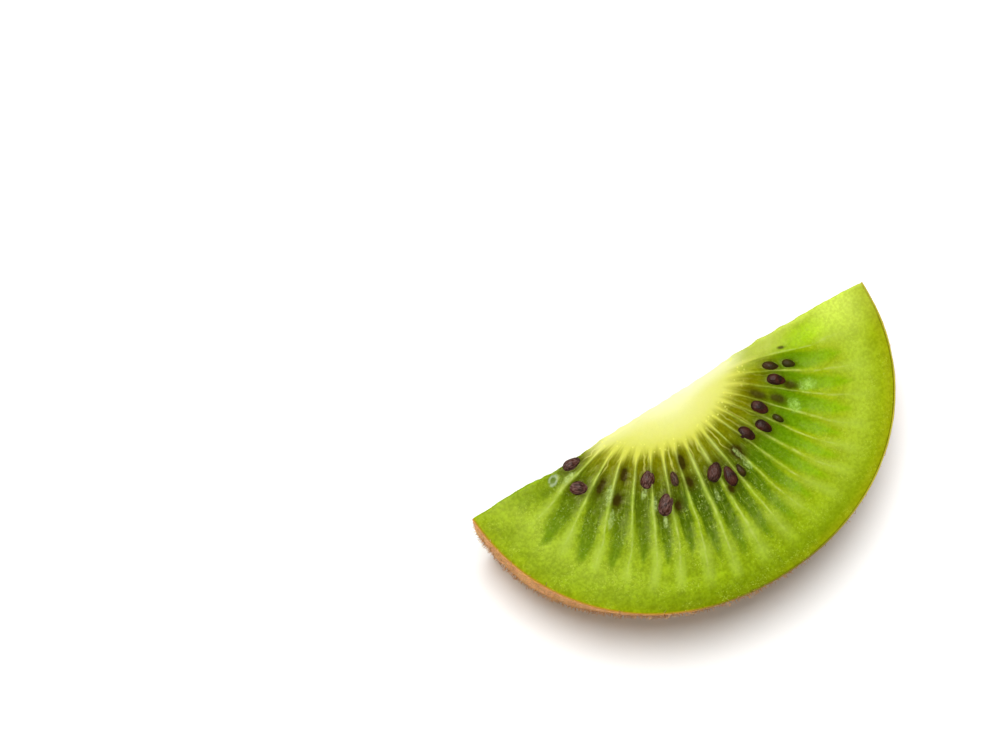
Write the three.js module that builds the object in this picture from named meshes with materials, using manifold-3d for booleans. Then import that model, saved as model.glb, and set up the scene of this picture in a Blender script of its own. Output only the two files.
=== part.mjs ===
// Half of a round kiwi slice, lying on its smaller cut face with the larger one on top.
// Millimetres, +Z up. X runs along the straight cut, and the skin bulges towards -Y.
// The fruit's own axis is vertical: "depth" is the distance from it, square to the straight cut.
import * as THREE from "three";
import { mergeVertices } from "three/addons/utils/BufferGeometryUtils.js";
import Module from "manifold-3d";

const wasm = await Module();
wasm.setup();

// Driving dimensions
const THICKNESS = 11;
const HALF_WIDTH = 26;
const HALF_DEPTH = 23.5;
const FRUIT_HALF_LENGTH = 32;
const SQUARENESS = 2.07;
const LEAN = 0.035;
const CUT_LEAN_DEG = 22;
const CORE_HALF_WIDTH = 9;
const CORE_HALF_DEPTH = 4.8;
const POCKET_HALF_WIDTH = 19.5;
const POCKET_HALF_DEPTH = 18;

// Angles in degrees of the thin walls that run out from the core, over the lower half of the round
const HALF_WALLS_DEG = [
  12.1, 22.7, 33.3, 43.4, 52.0, 60.0, 67.7, 75.8, 83.4,
  91.1, 99.1, 107.3, 116.2, 124.7, 134.7, 146.4, 158.2, 170.0,
];

// Relief of the cut faces: sinks and rises in millimetres, rings counted as in ringSize
const POCKET_SINK = 0.35;
const CUT_POCKET_SINK = 0.12;
const POCKET_START_RING = 1.2;
const SIDE_POCKET_TIP_RING = 1.92;
const MIDDLE_POCKET_EXTRA_RING = 0.1;
const POCKET_TAPER_RING = 0.35;
const WALL_SHOULDER = 0.17;
const CORE_RISE = 0.15;
const CORE_CROWN_RING = 0.4;

// Waviness of the straight cut: swells stand proud and dips are negative
const CUT_WAVES = [
  { x: 12, height: 0.4, spread: 6 },
  { x: -21, height: 0.12, spread: 3 },
  { x: -14.5, height: -0.15, spread: 3.2 },
  { x: 26, height: -0.3, spread: 3 },
];

// Mesh steps
const FACE_RINGS = [0.6, 1, 1.12, 1.3, 1.5, 1.68, 1.84, 2, 2.5, 3];
const SIDE_LEVELS = 6;
const CUT_STEPS_ALONG = 60;
const CUT_STEPS_DOWN = 6;
const CUT_OVERSHOOT = 2;
const SEED_SEGMENTS = 6;
const SEED_BANDS = 4;

// Seeds of the upper face: x, depth, length, width (mm), turn of the long axis (degrees)
const UPPER_SEEDS = [
  [-13.3, 0.6, 2.1, 1.2, 0],
  [-14.0, 3.3, 2.2, 1.5, -40],
  [-6.9, 6.5, 2.0, 1.5, 45],
  [-6.6, 9.9, 2.6, 1.7, 45],
  [-4.3, 8.0, 1.7, 0.9, 75],
  [0.0, 9.7, 2.2, 1.5, 45],
  [1.3, 11.0, 2.4, 1.4, 85],
  [2.6, 11.1, 1.6, 0.9, 90],
  [5.4, 8.0, 2.1, 1.4, -60],
  [7.5, 8.3, 2.0, 1.3, -60],
  [8.3, 6.3, 2.1, 1.5, -65],
  [9.4, 8.4, 1.4, 0.8, -60],
  [11.6, 4.6, 2.1, 1.3, -40],
  [11.9, 3.0, 1.9, 1.0, -35],
  [13.8, 3.8, 1.5, 0.9, -40],
];
const SEED_THICKNESS = 0.9;
const SEED_SUNK = 0.05;
const HIDDEN_SEED_LENGTH = 1.9;
const HIDDEN_SEED_WIDTH = 1.2;
const HIDDEN_SEED_LENGTH_SPREAD = 0.3;
const LOWER_SEED_RING = 1.22;
const LOWER_SEED_RING_SPREAD = 0.3;
const LOWER_SEED_TURN_SPREAD_DEG = 50;
const FLOOR_CLEARANCE = 0.03;
const CUT_SEEDS_PER_SIDE = 3;
const CUT_SEED_NEAREST_X = 11;
const CUT_SEED_X_SPREAD = 2.5;
const CUT_SEED_LEVEL_SPREAD = 0.4;
const RANDOM_SEED = 7;

const FLESH_COLOUR = "#93bd22";

const RADIANS = Math.PI / 180;
const RING_WIDTHS = [0, CORE_HALF_WIDTH, POCKET_HALF_WIDTH, HALF_WIDTH];
const RING_DEPTHS = [0, CORE_HALF_DEPTH, POCKET_HALF_DEPTH, HALF_DEPTH];
const NEAR_AXIS = 0.001;
const PAST_SKIN = 4;
const HALVINGS = 24;

function smoothStep(low, high, value) {
  return THREE.MathUtils.smoothstep(value, low, high);
}

function signedPower(value, power) {
  return Math.sign(value) * Math.abs(value) ** power;
}

// How fast a list of sizes grows at each of its places, one-sided at both ends
function growthRates(sizes) {
  return sizes.map((size, place) => {
    const after = Math.min(place + 1, sizes.length - 1);
    const before = Math.max(place - 1, 0);
    return (sizes[after] - sizes[before]) / (after - before);
  });
}

// Half the width or depth of a growth ring: 0 the axis, 1 the core's edge, 2 the pockets' tips, 3 the skin.
// A smooth curve joins the sizes of the whole rings, and a straight line goes on outside the skin.
function ringSize(sizes, ring) {
  const rates = growthRates(sizes);
  const inner = Math.min(Math.floor(ring), sizes.length - 2);
  const share = Math.min(ring - inner, 1);
  const rest = 1 - share;
  const start = sizes[inner] * (1 + 2 * share) + rates[inner] * share;
  const end = sizes[inner + 1] * (3 - 2 * share) - rates[inner + 1] * rest;
  const outside = Math.max(ring - inner - 1, 0) * rates[inner + 1];
  return start * rest ** 2 + end * share ** 2 + outside;
}

// Place in the round slice of a growth ring at an angle in degrees, 90 being square to the straight cut
function ringPlace(angle, ring) {
  const across = signedPower(Math.cos(angle * RADIANS), 2 / SQUARENESS);
  const down = signedPower(Math.sin(angle * RADIANS), 2 / SQUARENESS);
  const depth = ringSize(RING_DEPTHS, ring) * down;
  return { x: ringSize(RING_WIDTHS, ring) * across + LEAN * depth, depth };
}

// The angle and growth ring found at a place: the reverse of ringPlace, by halving the interval
function ringAt(x, depth) {
  const upright = x - LEAN * depth;
  let low = NEAR_AXIS;
  let high = PAST_SKIN;
  for (let step = 0; step < HALVINGS; step += 1) {
    const ring = (low + high) / 2;
    const across = Math.abs(upright) / ringSize(RING_WIDTHS, ring);
    const down = Math.abs(depth) / ringSize(RING_DEPTHS, ring);
    if (across ** SQUARENESS + down ** SQUARENESS > 1) {
      low = ring;
    } else {
      high = ring;
    }
  }
  const across = signedPower(upright / ringSize(RING_WIDTHS, low), SQUARENESS / 2);
  const down = signedPower(depth / ringSize(RING_DEPTHS, low), SQUARENESS / 2);
  return { angle: Math.atan2(down, across) / RADIANS, ring: low };
}

// Walls of the whole round: the half that is cut away mirrors the half that stays
const WALLS = [...HALF_WALLS_DEG, ...HALF_WALLS_DEG.map((angle) => 360 - angle).reverse()];

function pocketBounds(pocket) {
  const from = WALLS[pocket];
  const to = pocket + 1 < WALLS.length ? WALLS[pocket + 1] : WALLS[0] + 360;
  return { from, to };
}

// How deep the cut face sinks over a seed pocket, from 0 on a wall to 1 in the middle
function pocketShape(angle, ring) {
  const turned = ((angle - WALLS[0] + 720) % 360) + WALLS[0];
  const pocket = WALLS.findLastIndex((wall) => wall <= turned + 1e-6);
  const { from, to } = pocketBounds(pocket);
  const across = Math.sin(Math.PI * Math.min((turned - from) / (to - from), 1));
  const tip = SIDE_POCKET_TIP_RING + MIDDLE_POCKET_EXTRA_RING * Math.abs(Math.sin(turned * RADIANS)) ** 3;
  const starting = smoothStep(1, POCKET_START_RING, ring);
  const ending = 1 - smoothStep(tip - POCKET_TAPER_RING, tip, ring);
  return Math.sqrt(Math.max(across, 0)) * starting * ending;
}

// How much smaller the fruit is at a distance below the larger face
function barrel(below) {
  return Math.sqrt(1 - (below / FRUIT_HALF_LENGTH) ** 2);
}

// Sink and rise of a cut face: pockets are hollow and the core stands a little proud
function faceRelief(angle, ring) {
  return CORE_RISE * (1 - smoothStep(CORE_CROWN_RING, 1, ring)) - POCKET_SINK * pocketShape(angle, ring);
}

// One column of the mesh on each wall, one on each of its shoulders and one in each pocket's middle
function columnAngles() {
  return WALLS.flatMap((wall, pocket) => {
    const { from, to } = pocketBounds(pocket);
    return [0, WALL_SHOULDER, 0.5, 1 - WALL_SHOULDER].map((share) => from + share * (to - from));
  });
}

function placeOnLevel(angle, ring, below, lift) {
  const place = ringPlace(angle, ring);
  const scale = barrel(below);
  return new THREE.Vector3(place.x * scale, -place.depth * scale, THICKNESS - below + lift);
}

// Closed loops of points from the upper face's middle, down the skin, to the lower face's middle
function roundSliceLoops(angles) {
  const loops = [];
  for (const ring of FACE_RINGS) {
    loops.push(angles.map((angle) => placeOnLevel(angle, ring, 0, faceRelief(angle, ring))));
  }
  for (let level = 1; level < SIDE_LEVELS; level += 1) {
    const below = (THICKNESS * level) / SIDE_LEVELS;
    loops.push(angles.map((angle) => placeOnLevel(angle, 3, below, 0)));
  }
  for (const ring of [...FACE_RINGS].reverse()) {
    const hollow = (angle) => POCKET_SINK * pocketShape(angle, ring);
    loops.push(angles.map((angle) => placeOnLevel(angle, ring, THICKNESS, hollow(angle))));
  }
  return loops;
}

function geometryOf(points, triangles) {
  const geometry = new THREE.BufferGeometry().setFromPoints(points);
  geometry.setIndex(triangles);
  return geometry;
}

// Skins a stack of closed loops and closes it with a fan at each end
function skinLoops(loops, top, bottom) {
  const count = loops[0].length;
  const points = [...loops.flat(), top, bottom];
  const triangles = [];
  const topIndex = points.length - 2;
  const bottomIndex = points.length - 1;
  for (let column = 0; column < count; column += 1) {
    const next = (column + 1) % count;
    triangles.push(topIndex, next, column);
    for (let loop = 0; loop + 1 < loops.length; loop += 1) {
      const upper = loop * count;
      const lower = upper + count;
      triangles.push(upper + column, upper + next, lower + column);
      triangles.push(upper + next, lower + next, lower + column);
    }
    const last = (loops.length - 1) * count;
    triangles.push(bottomIndex, last + column, last + next);
  }
  return geometryOf(points, triangles);
}

function roundSlice() {
  const top = new THREE.Vector3(0, 0, THICKNESS + CORE_RISE);
  const bottom = new THREE.Vector3(0, 0, 0);
  return skinLoops(roundSliceLoops(columnAngles()), top, bottom);
}

function cutWave(x) {
  const heights = CUT_WAVES.map((wave) => wave.height * Math.exp(-(((x - wave.x) / wave.spread) ** 2)));
  return heights.reduce((sum, height) => sum + height, 0);
}

// A point of the straight cut, which leans in under the larger face
function cutPoint(x, below) {
  const depth = below * Math.tan(CUT_LEAN_DEG * RADIANS) - cutWave(x);
  const scale = barrel(Math.min(Math.max(below, 0), THICKNESS));
  const tissue = ringAt(x / scale, Math.max(depth, 0) / scale);
  const sunk = CUT_POCKET_SINK * pocketShape(tissue.angle, tissue.ring);
  return new THREE.Vector3(x, -depth - sunk, THICKNESS - below);
}

// The block that takes the other half of the round away
function straightCutBlock() {
  const loops = [];
  const reach = HALF_WIDTH + CUT_OVERSHOOT;
  const backY = HALF_DEPTH + CUT_OVERSHOOT;
  for (let step = 0; step <= CUT_STEPS_ALONG; step += 1) {
    const x = -reach + (2 * reach * step) / CUT_STEPS_ALONG;
    const loop = [];
    for (let down = 0; down <= CUT_STEPS_DOWN; down += 1) {
      const below = -CUT_OVERSHOOT + ((THICKNESS + 2 * CUT_OVERSHOOT) * down) / CUT_STEPS_DOWN;
      loop.push(cutPoint(x, below));
    }
    loop.push(new THREE.Vector3(x, backY, -CUT_OVERSHOOT));
    loop.push(new THREE.Vector3(x, backY, THICKNESS + CUT_OVERSHOOT));
    loops.push(loop);
  }
  const middle = (loop) => loop.reduce((sum, point) => sum.clone().add(point)).divideScalar(loop.length);
  return skinLoops(loops, middle(loops[0]), middle(loops.at(-1)));
}

// A seed is a flattened egg that lies along the face it is bedded in
function seed(length, width, thickness) {
  const shape = new THREE.SphereGeometry(0.5, SEED_SEGMENTS, SEED_BANDS);
  shape.rotateZ(Math.PI / 2);
  shape.scale(length, width, thickness);
  return shape;
}

function upperSeeds() {
  return UPPER_SEEDS.map(([x, depth, length, width, turn]) => {
    const { angle, ring } = ringAt(x, depth);
    const shape = seed(length, width, SEED_THICKNESS);
    shape.rotateZ(turn * RADIANS);
    shape.translate(x, -depth, THICKNESS + faceRelief(angle, ring) - SEED_SUNK);
    return shape;
  });
}

// Repeatable random numbers from 0 to 1
function randomNumbers(start) {
  let state = start;
  return () => {
    state = (state + 0x6d2b79f5) | 0;
    let mixed = Math.imul(state ^ (state >>> 15), 1 | state);
    mixed = (mixed + Math.imul(mixed ^ (mixed >>> 7), 61 | mixed)) ^ mixed;
    return ((mixed ^ (mixed >>> 14)) >>> 0) / 4294967296;
  };
}

// One seed lies in each pocket of the lower face that the straight cut has left whole
function lowerSeeds(random) {
  const shapes = [];
  const scale = barrel(THICKNESS);
  const cutDepth = THICKNESS * Math.tan(CUT_LEAN_DEG * RADIANS);
  for (let pocket = 0; pocket + 1 < HALF_WALLS_DEG.length; pocket += 1) {
    const { from, to } = pocketBounds(pocket);
    const ring = LOWER_SEED_RING + LOWER_SEED_RING_SPREAD * random();
    const length = HIDDEN_SEED_LENGTH + HIDDEN_SEED_LENGTH_SPREAD * (random() - 0.5);
    const turn = LOWER_SEED_TURN_SPREAD_DEG * RADIANS * (random() - 0.5);
    const place = ringPlace((from + to) / 2, ring);
    if (place.depth * scale > cutDepth + length) {
      const shape = seed(length, HIDDEN_SEED_WIDTH, SEED_THICKNESS);
      const outwards = Math.atan2(-place.depth, place.x);
      shape.rotateZ(outwards + turn);
      shape.translate(place.x * scale, -place.depth * scale, SEED_THICKNESS / 2 + FLOOR_CLEARANCE);
      shapes.push(shape);
    }
  }
  return shapes;
}

// Seeds that the straight cut bares, one below the other where it crosses the pockets
function cutSeeds(random) {
  const shapes = [];
  for (const side of [-1, 1]) {
    for (let row = 0; row < CUT_SEEDS_PER_SIDE; row += 1) {
      const level = row + 1 + CUT_SEED_LEVEL_SPREAD * (random() - 0.5);
      const below = (THICKNESS * level) / (CUT_SEEDS_PER_SIDE + 1);
      const point = cutPoint(side * (CUT_SEED_NEAREST_X + CUT_SEED_X_SPREAD * random()), below);
      const shape = seed(HIDDEN_SEED_LENGTH, HIDDEN_SEED_WIDTH, SEED_THICKNESS);
      shape.rotateZ(Math.PI * (random() - 0.5));
      shape.rotateX(Math.PI / 2 - CUT_LEAN_DEG * RADIANS);
      shape.translate(point.x, point.y, point.z);
      shapes.push(shape);
    }
  }
  return shapes;
}

function solidOf(geometry) {
  const bare = geometry.clone();
  bare.deleteAttribute("normal");
  bare.deleteAttribute("uv");
  const merged = mergeVertices(bare);
  return new wasm.Manifold(new wasm.Mesh({
    numProp: 3,
    vertProperties: new Float32Array(merged.attributes.position.array),
    triVerts: new Uint32Array(merged.index.array),
  }));
}

function geometryFrom(solid) {
  const { vertProperties, triVerts } = solid.getMesh();
  const geometry = new THREE.BufferGeometry();
  geometry.setAttribute("position", new THREE.BufferAttribute(vertProperties, 3));
  geometry.setIndex(new THREE.BufferAttribute(triVerts, 1));
  geometry.computeVertexNormals();
  return geometry;
}

function halfSliceGeometry() {
  const random = randomNumbers(RANDOM_SEED);
  let solid = solidOf(roundSlice()).subtract(solidOf(straightCutBlock()));
  for (const shape of [...upperSeeds(), ...lowerSeeds(random), ...cutSeeds(random)]) {
    solid = solid.add(solidOf(shape));
  }
  return geometryFrom(solid);
}

// The middle of the bounding box stands over the origin
function centreOverOrigin(geometry) {
  geometry.computeBoundingBox();
  const middle = geometry.boundingBox.getCenter(new THREE.Vector3());
  geometry.translate(-middle.x, -middle.y, 0);
  return geometry;
}

const flesh = new THREE.MeshStandardMaterial({ color: FLESH_COLOUR, roughness: 0.35, metalness: 0 });
const halfSlice = new THREE.Mesh(centreOverOrigin(halfSliceGeometry()), flesh);
halfSlice.name = "half_slice";

const part = new THREE.Group();
part.add(halfSlice);

export default part;
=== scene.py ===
"""Half of a round kiwi slice: wet green flesh, pale core, pitted seeds and a hairy skin, on a pale floor.

Lengths are written in millimetres and multiplied by MM. "Depth" is the distance from the fruit's axis,
square to the straight cut, and "below" the distance under the larger cut face.
A growth ring is 0 on the axis, 1 at the core's edge, 2 at the tips of the seed pockets and 3 at the skin.
"""
import math

import bmesh
import bpy
import numpy as np
from mathutils import Euler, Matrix, Quaternion, Vector, noise


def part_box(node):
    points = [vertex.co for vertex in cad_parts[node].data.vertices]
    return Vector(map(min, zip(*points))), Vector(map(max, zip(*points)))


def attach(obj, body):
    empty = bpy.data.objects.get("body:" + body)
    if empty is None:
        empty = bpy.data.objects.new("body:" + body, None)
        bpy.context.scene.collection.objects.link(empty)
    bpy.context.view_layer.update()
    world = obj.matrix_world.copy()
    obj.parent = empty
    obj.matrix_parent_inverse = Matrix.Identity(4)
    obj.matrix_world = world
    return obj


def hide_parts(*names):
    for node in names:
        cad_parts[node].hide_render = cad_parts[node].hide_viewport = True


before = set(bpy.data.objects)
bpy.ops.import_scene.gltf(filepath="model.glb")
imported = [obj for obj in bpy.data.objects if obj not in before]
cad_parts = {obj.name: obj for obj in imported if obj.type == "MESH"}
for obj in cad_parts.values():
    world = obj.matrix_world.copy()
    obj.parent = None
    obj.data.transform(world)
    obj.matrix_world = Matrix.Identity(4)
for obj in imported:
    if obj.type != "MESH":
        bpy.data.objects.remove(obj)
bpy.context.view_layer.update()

MM = 0.001
NODE = "half_slice"

# The fruit, as in the solid
THICKNESS = 11
HALF_WIDTH = 26
HALF_DEPTH = 23.5
FRUIT_HALF_LENGTH = 32
SQUARENESS = 2.07
LEAN = 0.035
CUT_LEAN = math.radians(22)
RING_WIDTHS = (0, 9, 19.5, HALF_WIDTH)
RING_DEPTHS = (0, 4.8, 18, HALF_DEPTH)
HALF_WALLS = (
    12.1, 22.7, 33.3, 43.4, 52.0, 60.0, 67.7, 75.8, 83.4,
    91.1, 99.1, 107.3, 116.2, 124.7, 134.7, 146.4, 158.2, 170.0,
)
# Walls of the lower half, with the nearest one of the cut-away half at either end
WALLS = np.array([-HALF_WALLS[0], *HALF_WALLS, 360 - HALF_WALLS[-1]])
# How the walls run aslant: the pocket where it is strongest, its reach in pockets, and pockets a growth ring
WALL_SLANTS = ((6.3, 3.2, 0.6), (11.5, 3.2, -0.42), (16.3, 1.6, 0.3))
SLANT_MIDDLE_RING, SLANT_REACH = 1.6, 0.6
POCKET_SINK, CUT_POCKET_SINK, CORE_RISE, CORE_RISE_FROM = 0.35, 0.12, 0.15, 0.4
CUT_WAVES = ((12, 0.4, 6), (-21, 0.12, 3), (-14.5, -0.15, 3.2), (26, -0.3, 3))
CUT_WAVE_REACH = 1.5
CUT_FRAY, CUT_FRAY_REACH = 0.12, 0.6
SKIN_THICKNESS = 0.12
FLESH_UNDER_SKIN = 0.1
FLESH_RING = 3 - (SKIN_THICKNESS - 0.5 * FLESH_UNDER_SKIN) / (RING_DEPTHS[3] - RING_DEPTHS[2])

# Mesh steps of the flesh: the rings of a cut face, the columns round it and the rows down its sides
CORE_ROWS, POCKET_ROWS, OUTER_ROWS = 26, 66, 36
COLUMNS = 300
ROWS_DOWN = 22

# Seeds of the upper face: x, depth, length, width, turn of the long axis in degrees
UPPER_SEEDS = (
    (-13.3, 0.6, 2.1, 1.2, 0),
    (-14.0, 3.3, 2.2, 1.5, -40),
    (-6.9, 6.5, 2.0, 1.5, 45),
    (-6.6, 9.9, 2.6, 1.7, 45),
    (-4.3, 8.0, 1.7, 0.9, 75),
    (0.0, 9.7, 2.2, 1.5, 45),
    (1.3, 11.0, 2.4, 1.4, 85),
    (2.6, 11.1, 1.6, 0.9, 90),
    (5.4, 8.0, 2.1, 1.4, -60),
    (7.5, 8.3, 2.0, 1.3, -60),
    (8.3, 6.3, 2.1, 1.5, -65),
    (9.4, 8.4, 1.4, 0.8, -60),
    (11.6, 4.6, 2.1, 1.3, -40),
    (11.9, 3.0, 1.9, 1.0, -35),
    (13.8, 3.8, 1.5, 0.9, -40),
)
# Seeds that only show through the wet flesh over them, with the same five numbers each
SUNKEN_SEEDS = (
    (-11.8, 4.4, 1.9, 0.8, 35),
    (-8.9, 4.7, 1.6, 0.8, 50),
    (-5.5, 10.7, 1.2, 0.9, 60),
    (-2.6, 6.9, 1.7, 0.8, 75),
    (-3.0, 9.2, 1.4, 0.9, 80),
    (-11.0, 6.6, 1.6, 1.0, 40),
    (0.6, 12.2, 1.0, 0.8, 90),
    (3.4, 9.1, 1.8, 1.3, -75),
    (8.9, 5.0, 1.9, 0.8, -50),
    (10.6, 6.5, 1.5, 0.9, -50),
    (12.6, 5.9, 1.6, 0.8, -40),
    (14.0, 1.9, 0.6, 0.25, -20),
)
# Whitish torn jelly on the upper face: x, depth, length, width, turn
JELLY = (
    (-11.6, 5.8, 2.6, 0.8, 50),
    (-12.9, 8.2, 2.4, 0.7, 48),
    (-8.1, 7.6, 1.5, 0.6, 40),
    (-7.7, 9.3, 1.8, 0.6, 62),
    (-7.7, 11.5, 1.6, 0.6, 60),
    (-1.1, 12.0, 1.6, 0.6, 80),
    (-14.4, 1.7, 2.2, 0.7, 15),
    (-15.9, 0.9, 1.5, 0.8, 10),
    (14.3, 6.9, 2.1, 1.4, -10),
    (11.8, 8.1, 1.6, 2.0, -20),
    (3.7, 10.9, 1.5, 0.7, -70),
    (3.4, 9.4, 1.9, 0.5, -75),
)
# How much of a green film covers a seed of the upper face, by its place in the list
SEED_FILMS = {4: 0.2, 7: 0.4, 11: 0.7, 13: 0.35, 14: 0.6}
EMPTY_SOCKET = ((-16.05, 1.01, 1.5, 1.0, 40),)
# Patches of colour that only the upper face has, and how far below it they end
UPPER_PATCHES = {
    "sunken_seed_closeness": SUNKEN_SEEDS,
    "jelly_closeness": JELLY,
    "socket_closeness": EMPTY_SOCKET,
}
PATCH_DEPTH = 1
# A closeness that counts as far from everything, and how far round a seed its closeness is worked out
FAR, SEED_SURROUNDINGS = 9.0, 2.5
SEED_THICKNESS = 0.9
SEED_SUNK = 0.05
HIDDEN_SEED_LENGTH, HIDDEN_SEED_WIDTH, HIDDEN_SEED_SPREAD = 1.9, 1.2, 0.3
LOWER_SEED_RING, LOWER_SEED_RING_SPREAD, LOWER_SEED_TURN_SPREAD = 1.22, 0.3, 50
FLOOR_CLEARANCE = 0.03
CUT_SEEDS_PER_SIDE, CUT_SEED_NEAREST_X, CUT_SEED_X_SPREAD, CUT_SEED_LEVEL_SPREAD = 3, 11, 2.5, 0.4
RANDOM_SEED = 7

# Surface of the flesh, in millimetres
SEED_COLLAR, COLLAR_PLACE, COLLAR_REACH = 0.07, 1.25, 0.22
OUTER_GRAIN, POCKET_GRAIN, SURFACE_LUMPS = 0.015, 0.06, 0.03
FLESH_GRAIN_SIZE, FLESH_LUMP_SIZE, FRAY_SIZE, FRAY_DEEPEST = 0.55, 1.6, 0.8, 0.3
RIGHT_DRYNESS, DRY_FROM_X = 0.8, 10
FACE_REACH, CUT_REACH = 0.2, 0.3
RIM_DROP, RIM_DROP_FROM = 0.05, 2.9
EDGE_DROP, EDGE_DROP_REACH = 0.05, 0.25
NOISE_STEPS = (17.3, 5.9, 11.1)

# Surface of the seeds and the skin, in millimetres
SEED_PLUMPNESS = 1.06
SEED_TAPER, SEED_LUMPS, SEED_LUMP_SIZE = 0.3, 0.06, 0.8
SEED_PIT_SPACING, SEED_PIT_DEPTH, SEED_PIT_SLOPE = 0.2, 0.016, (0.1, 0.6)
SKIN_LIP, SKIN_LUMPS, SKIN_DENT = 0.04, 0.12, 0.03
SKIN_LIP_SIZE, SKIN_LUMP_SIZE, SKIN_BARK_SIZE = 1.1, 2.6, 0.9
SKIN_EDGE_REACH, SKIN_CALM_RIM, SKIN_CALM_BELOW = 0.3, 0.3, 1.5

# The skin's two coats: loose hairs, and short dense fuzz under them
HAIRS = {
    "Hairs per square metre": 2.4 / MM**2,
    "Length": 0.42 * MM,
    "Thickness": 0.022 * MM,
    "Curl": 0.4,
    "Lift": 0.1,
    "Steps": 6,
    "Seed": 7,
}
FUZZ = {
    "Hairs per square metre": 8.5 / MM**2,
    "Length": 0.22 * MM,
    "Thickness": 0.02 * MM,
    "Curl": 0.3,
    "Lift": 0.45,
    "Steps": 3,
    "Seed": 23,
}
HAIR_SHORTEST, HAIR_LONGEST = 0.5, 1.3
HAIR_OVER_FACE = 0.3
CURL_START, CURL_END = 0.12, 0.3
TAPER_FROM, HAIR_TIP, HAIR_SIDES = 0.3, 0.25, 3
SPIN_SEED, STRETCH_SEED = 3, 5
# How far the skin swells between the cut faces: everywhere, and more at one side: angle, spread and height
SKIN_BULGE, SIDE_BULGE = 0.12, (152, 15, 0.4)
# The skin's upper edge is almost bare at the right: from where to where along x, and how far down
BARE_RIM_X, BARE_RIM_BELOW, BARE_RIM_SHARE = (-2, 7), (1.5, 3.5), 0.92

# The picture: millimetres, pixels and angles
PICTURE_WIDTH, PICTURE_HEIGHT = 1000, 734
LENS, SENSOR = 100, 36
MIDDLE_PIXEL = (669.05, 397.6)
CUT_SLOPE = math.radians(31.7)
VIEW_TILT = math.radians(12.5)
VIEW_SIDE = math.radians(180)
VIEW_DISTANCE = 310.2
CAMERA_STEPS = 4
NEAREST_SEEN = 0.01
FLOOR_REACH, FLOOR_GAP = 1500, 0.1
# Lamps: name, direction by the picture's right, up and viewer, distance, size, power, in reflections or not
LIGHTS = (
    ("key", (-0.08, 0.45, 0.9), 0.75, 0.5, 7.7, True),
    ("softbox", (0.1, 0.3, 0.95), 0.9, 1.3, 1.4, False),
    ("fill", (-0.6, -0.75, 0.5), 0.9, 0.4, 1.6, False),
)
WORLD_LIGHT, WORLD_TINT = 0.12, (0.94, 1, 0.8, 1)

# Patterns of the finishes: how large their features are, in millimetres
GRAIN_SIZE, BLOTCH_SIZE, CLOUD_SIZE = 0.33, 1.3, 5
SPARKLE_SIZE, SPARKLE_PATCH_SIZE = 0.17, 1.7
GLINT_SIZE, WET_GLINT_PATCH_SIZE, WISP_SIZE = 0.2, 1.3, 0.6
WALL_BEND_SIZE, WALL_WANDER, WALL_WEAR_SIZE, THREAD_BEND_SIZE = 3.6, 0.2, 0.8, 1.1
BEAD_GLINT_SIZE, SHARD_SIZE, JELLY_FRAY_SIZE = 0.52, 0.3, 0.5
FILM_PATCH_SIZE, FINE_BUMP_SIZE = 0.7, 0.2
WRINKLE_STRETCH, SEED_PATCH_SIZE, SEED_WET_SIZE = (2.4, 9, 9), 0.9, 0.4
MOTTLE_SIZE, FLECK_SIZE, SKIN_CLOUD_SIZE = 0.4, 0.8, 1.6
HAIR_PATCH_SIZE, FLOOR_PATCH_SIZE = 0.7, 40
CORE_SQUARENESS, CORE_SPREAD = 1.65, 1.06
FLESH_SHADE = 0.73


def colour(red, green, blue):
    """A colour as it looks, 0 to 255, turned into the light that it reflects."""
    def linear(value):
        value /= 255
        return value / 12.92 if value <= 0.04045 else ((value + 0.055) / 1.055) ** 2.4

    return (linear(red), linear(green), linear(blue), 1)


OUTER_DEEP = colour(127, 151, 0)
OUTER_LEFT = colour(148, 172, 22)
OUTER_RIGHT = colour(158, 178, 10)
OUTER_RIM = colour(126, 143, 2)
OUTER_RIM_LEFT = colour(150, 170, 8)
OUTER_RIM_RIGHT = colour(160, 168, 10)
OUTER_LINE = colour(120, 118, 4)
OUTER_LINE_LEFT = colour(164, 164, 6)
HAZE = colour(182, 212, 26)
HAZE_RIGHT = colour(188, 214, 66)
HAZE_LEFT = colour(188, 212, 64)
RAY = colour(190, 214, 80)
CUT_STRIP_GLOW = colour(196, 208, 90)
TIP_GLOW = colour(222, 240, 96)
FIRST_LANE = colour(176, 216, 0)
WALL = colour(170, 196, 66)
WALL_THREAD = colour(212, 224, 124)
WALL_RIGHT = colour(164, 196, 52)
WALL_INNER = colour(192, 204, 96)
POCKET_MIDDLE = colour(72, 96, 0)
POCKET_LEFT = colour(94, 114, 6)
POCKET_RIGHT = colour(104, 146, 0)
POCKET_END_LEFT = colour(110, 144, 2)
POCKET_END_RIGHT = colour(144, 184, 0)
POCKET_INNER = colour(130, 132, 0)
SEED_SHADOW = colour(66, 62, 2)
POCKET_GLINT = colour(168, 188, 96)
POCKET_FIBRE = colour(148, 172, 44)
STRAND = colour(176, 180, 44)
THREAD = colour(216, 216, 104)
SPARKLE = colour(216, 236, 90)
CORE_BRIGHT = colour(252, 252, 184)
CORE_PALE = colour(240, 240, 136)
CORE_GLOW_BY_CUT = colour(254, 254, 216)
CORE_EDGE = colour(224, 225, 88)
BEAD_GLINT = colour(250, 250, 120)
SEED_FILM = colour(140, 162, 60)
SUNKEN_SEED = colour(56, 42, 6)
JELLY_TINT = colour(182, 204, 120)
JELLY_RIGHT = colour(176, 218, 96)
SEED_DARK = colour(34, 16, 6)
SEED_SHEEN = colour(104, 74, 66)
SEED_RED = colour(62, 26, 12)
SEED_GREEN = colour(50, 52, 0)
SOCKET_RIM = colour(176, 192, 156)
SOCKET_HOLLOW_SHADE = colour(84, 112, 20)
SKIN_TAN = colour(232, 168, 92)
SKIN_OLIVE = colour(198, 142, 68)
SKIN_FLECK = colour(172, 98, 50)
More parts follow.
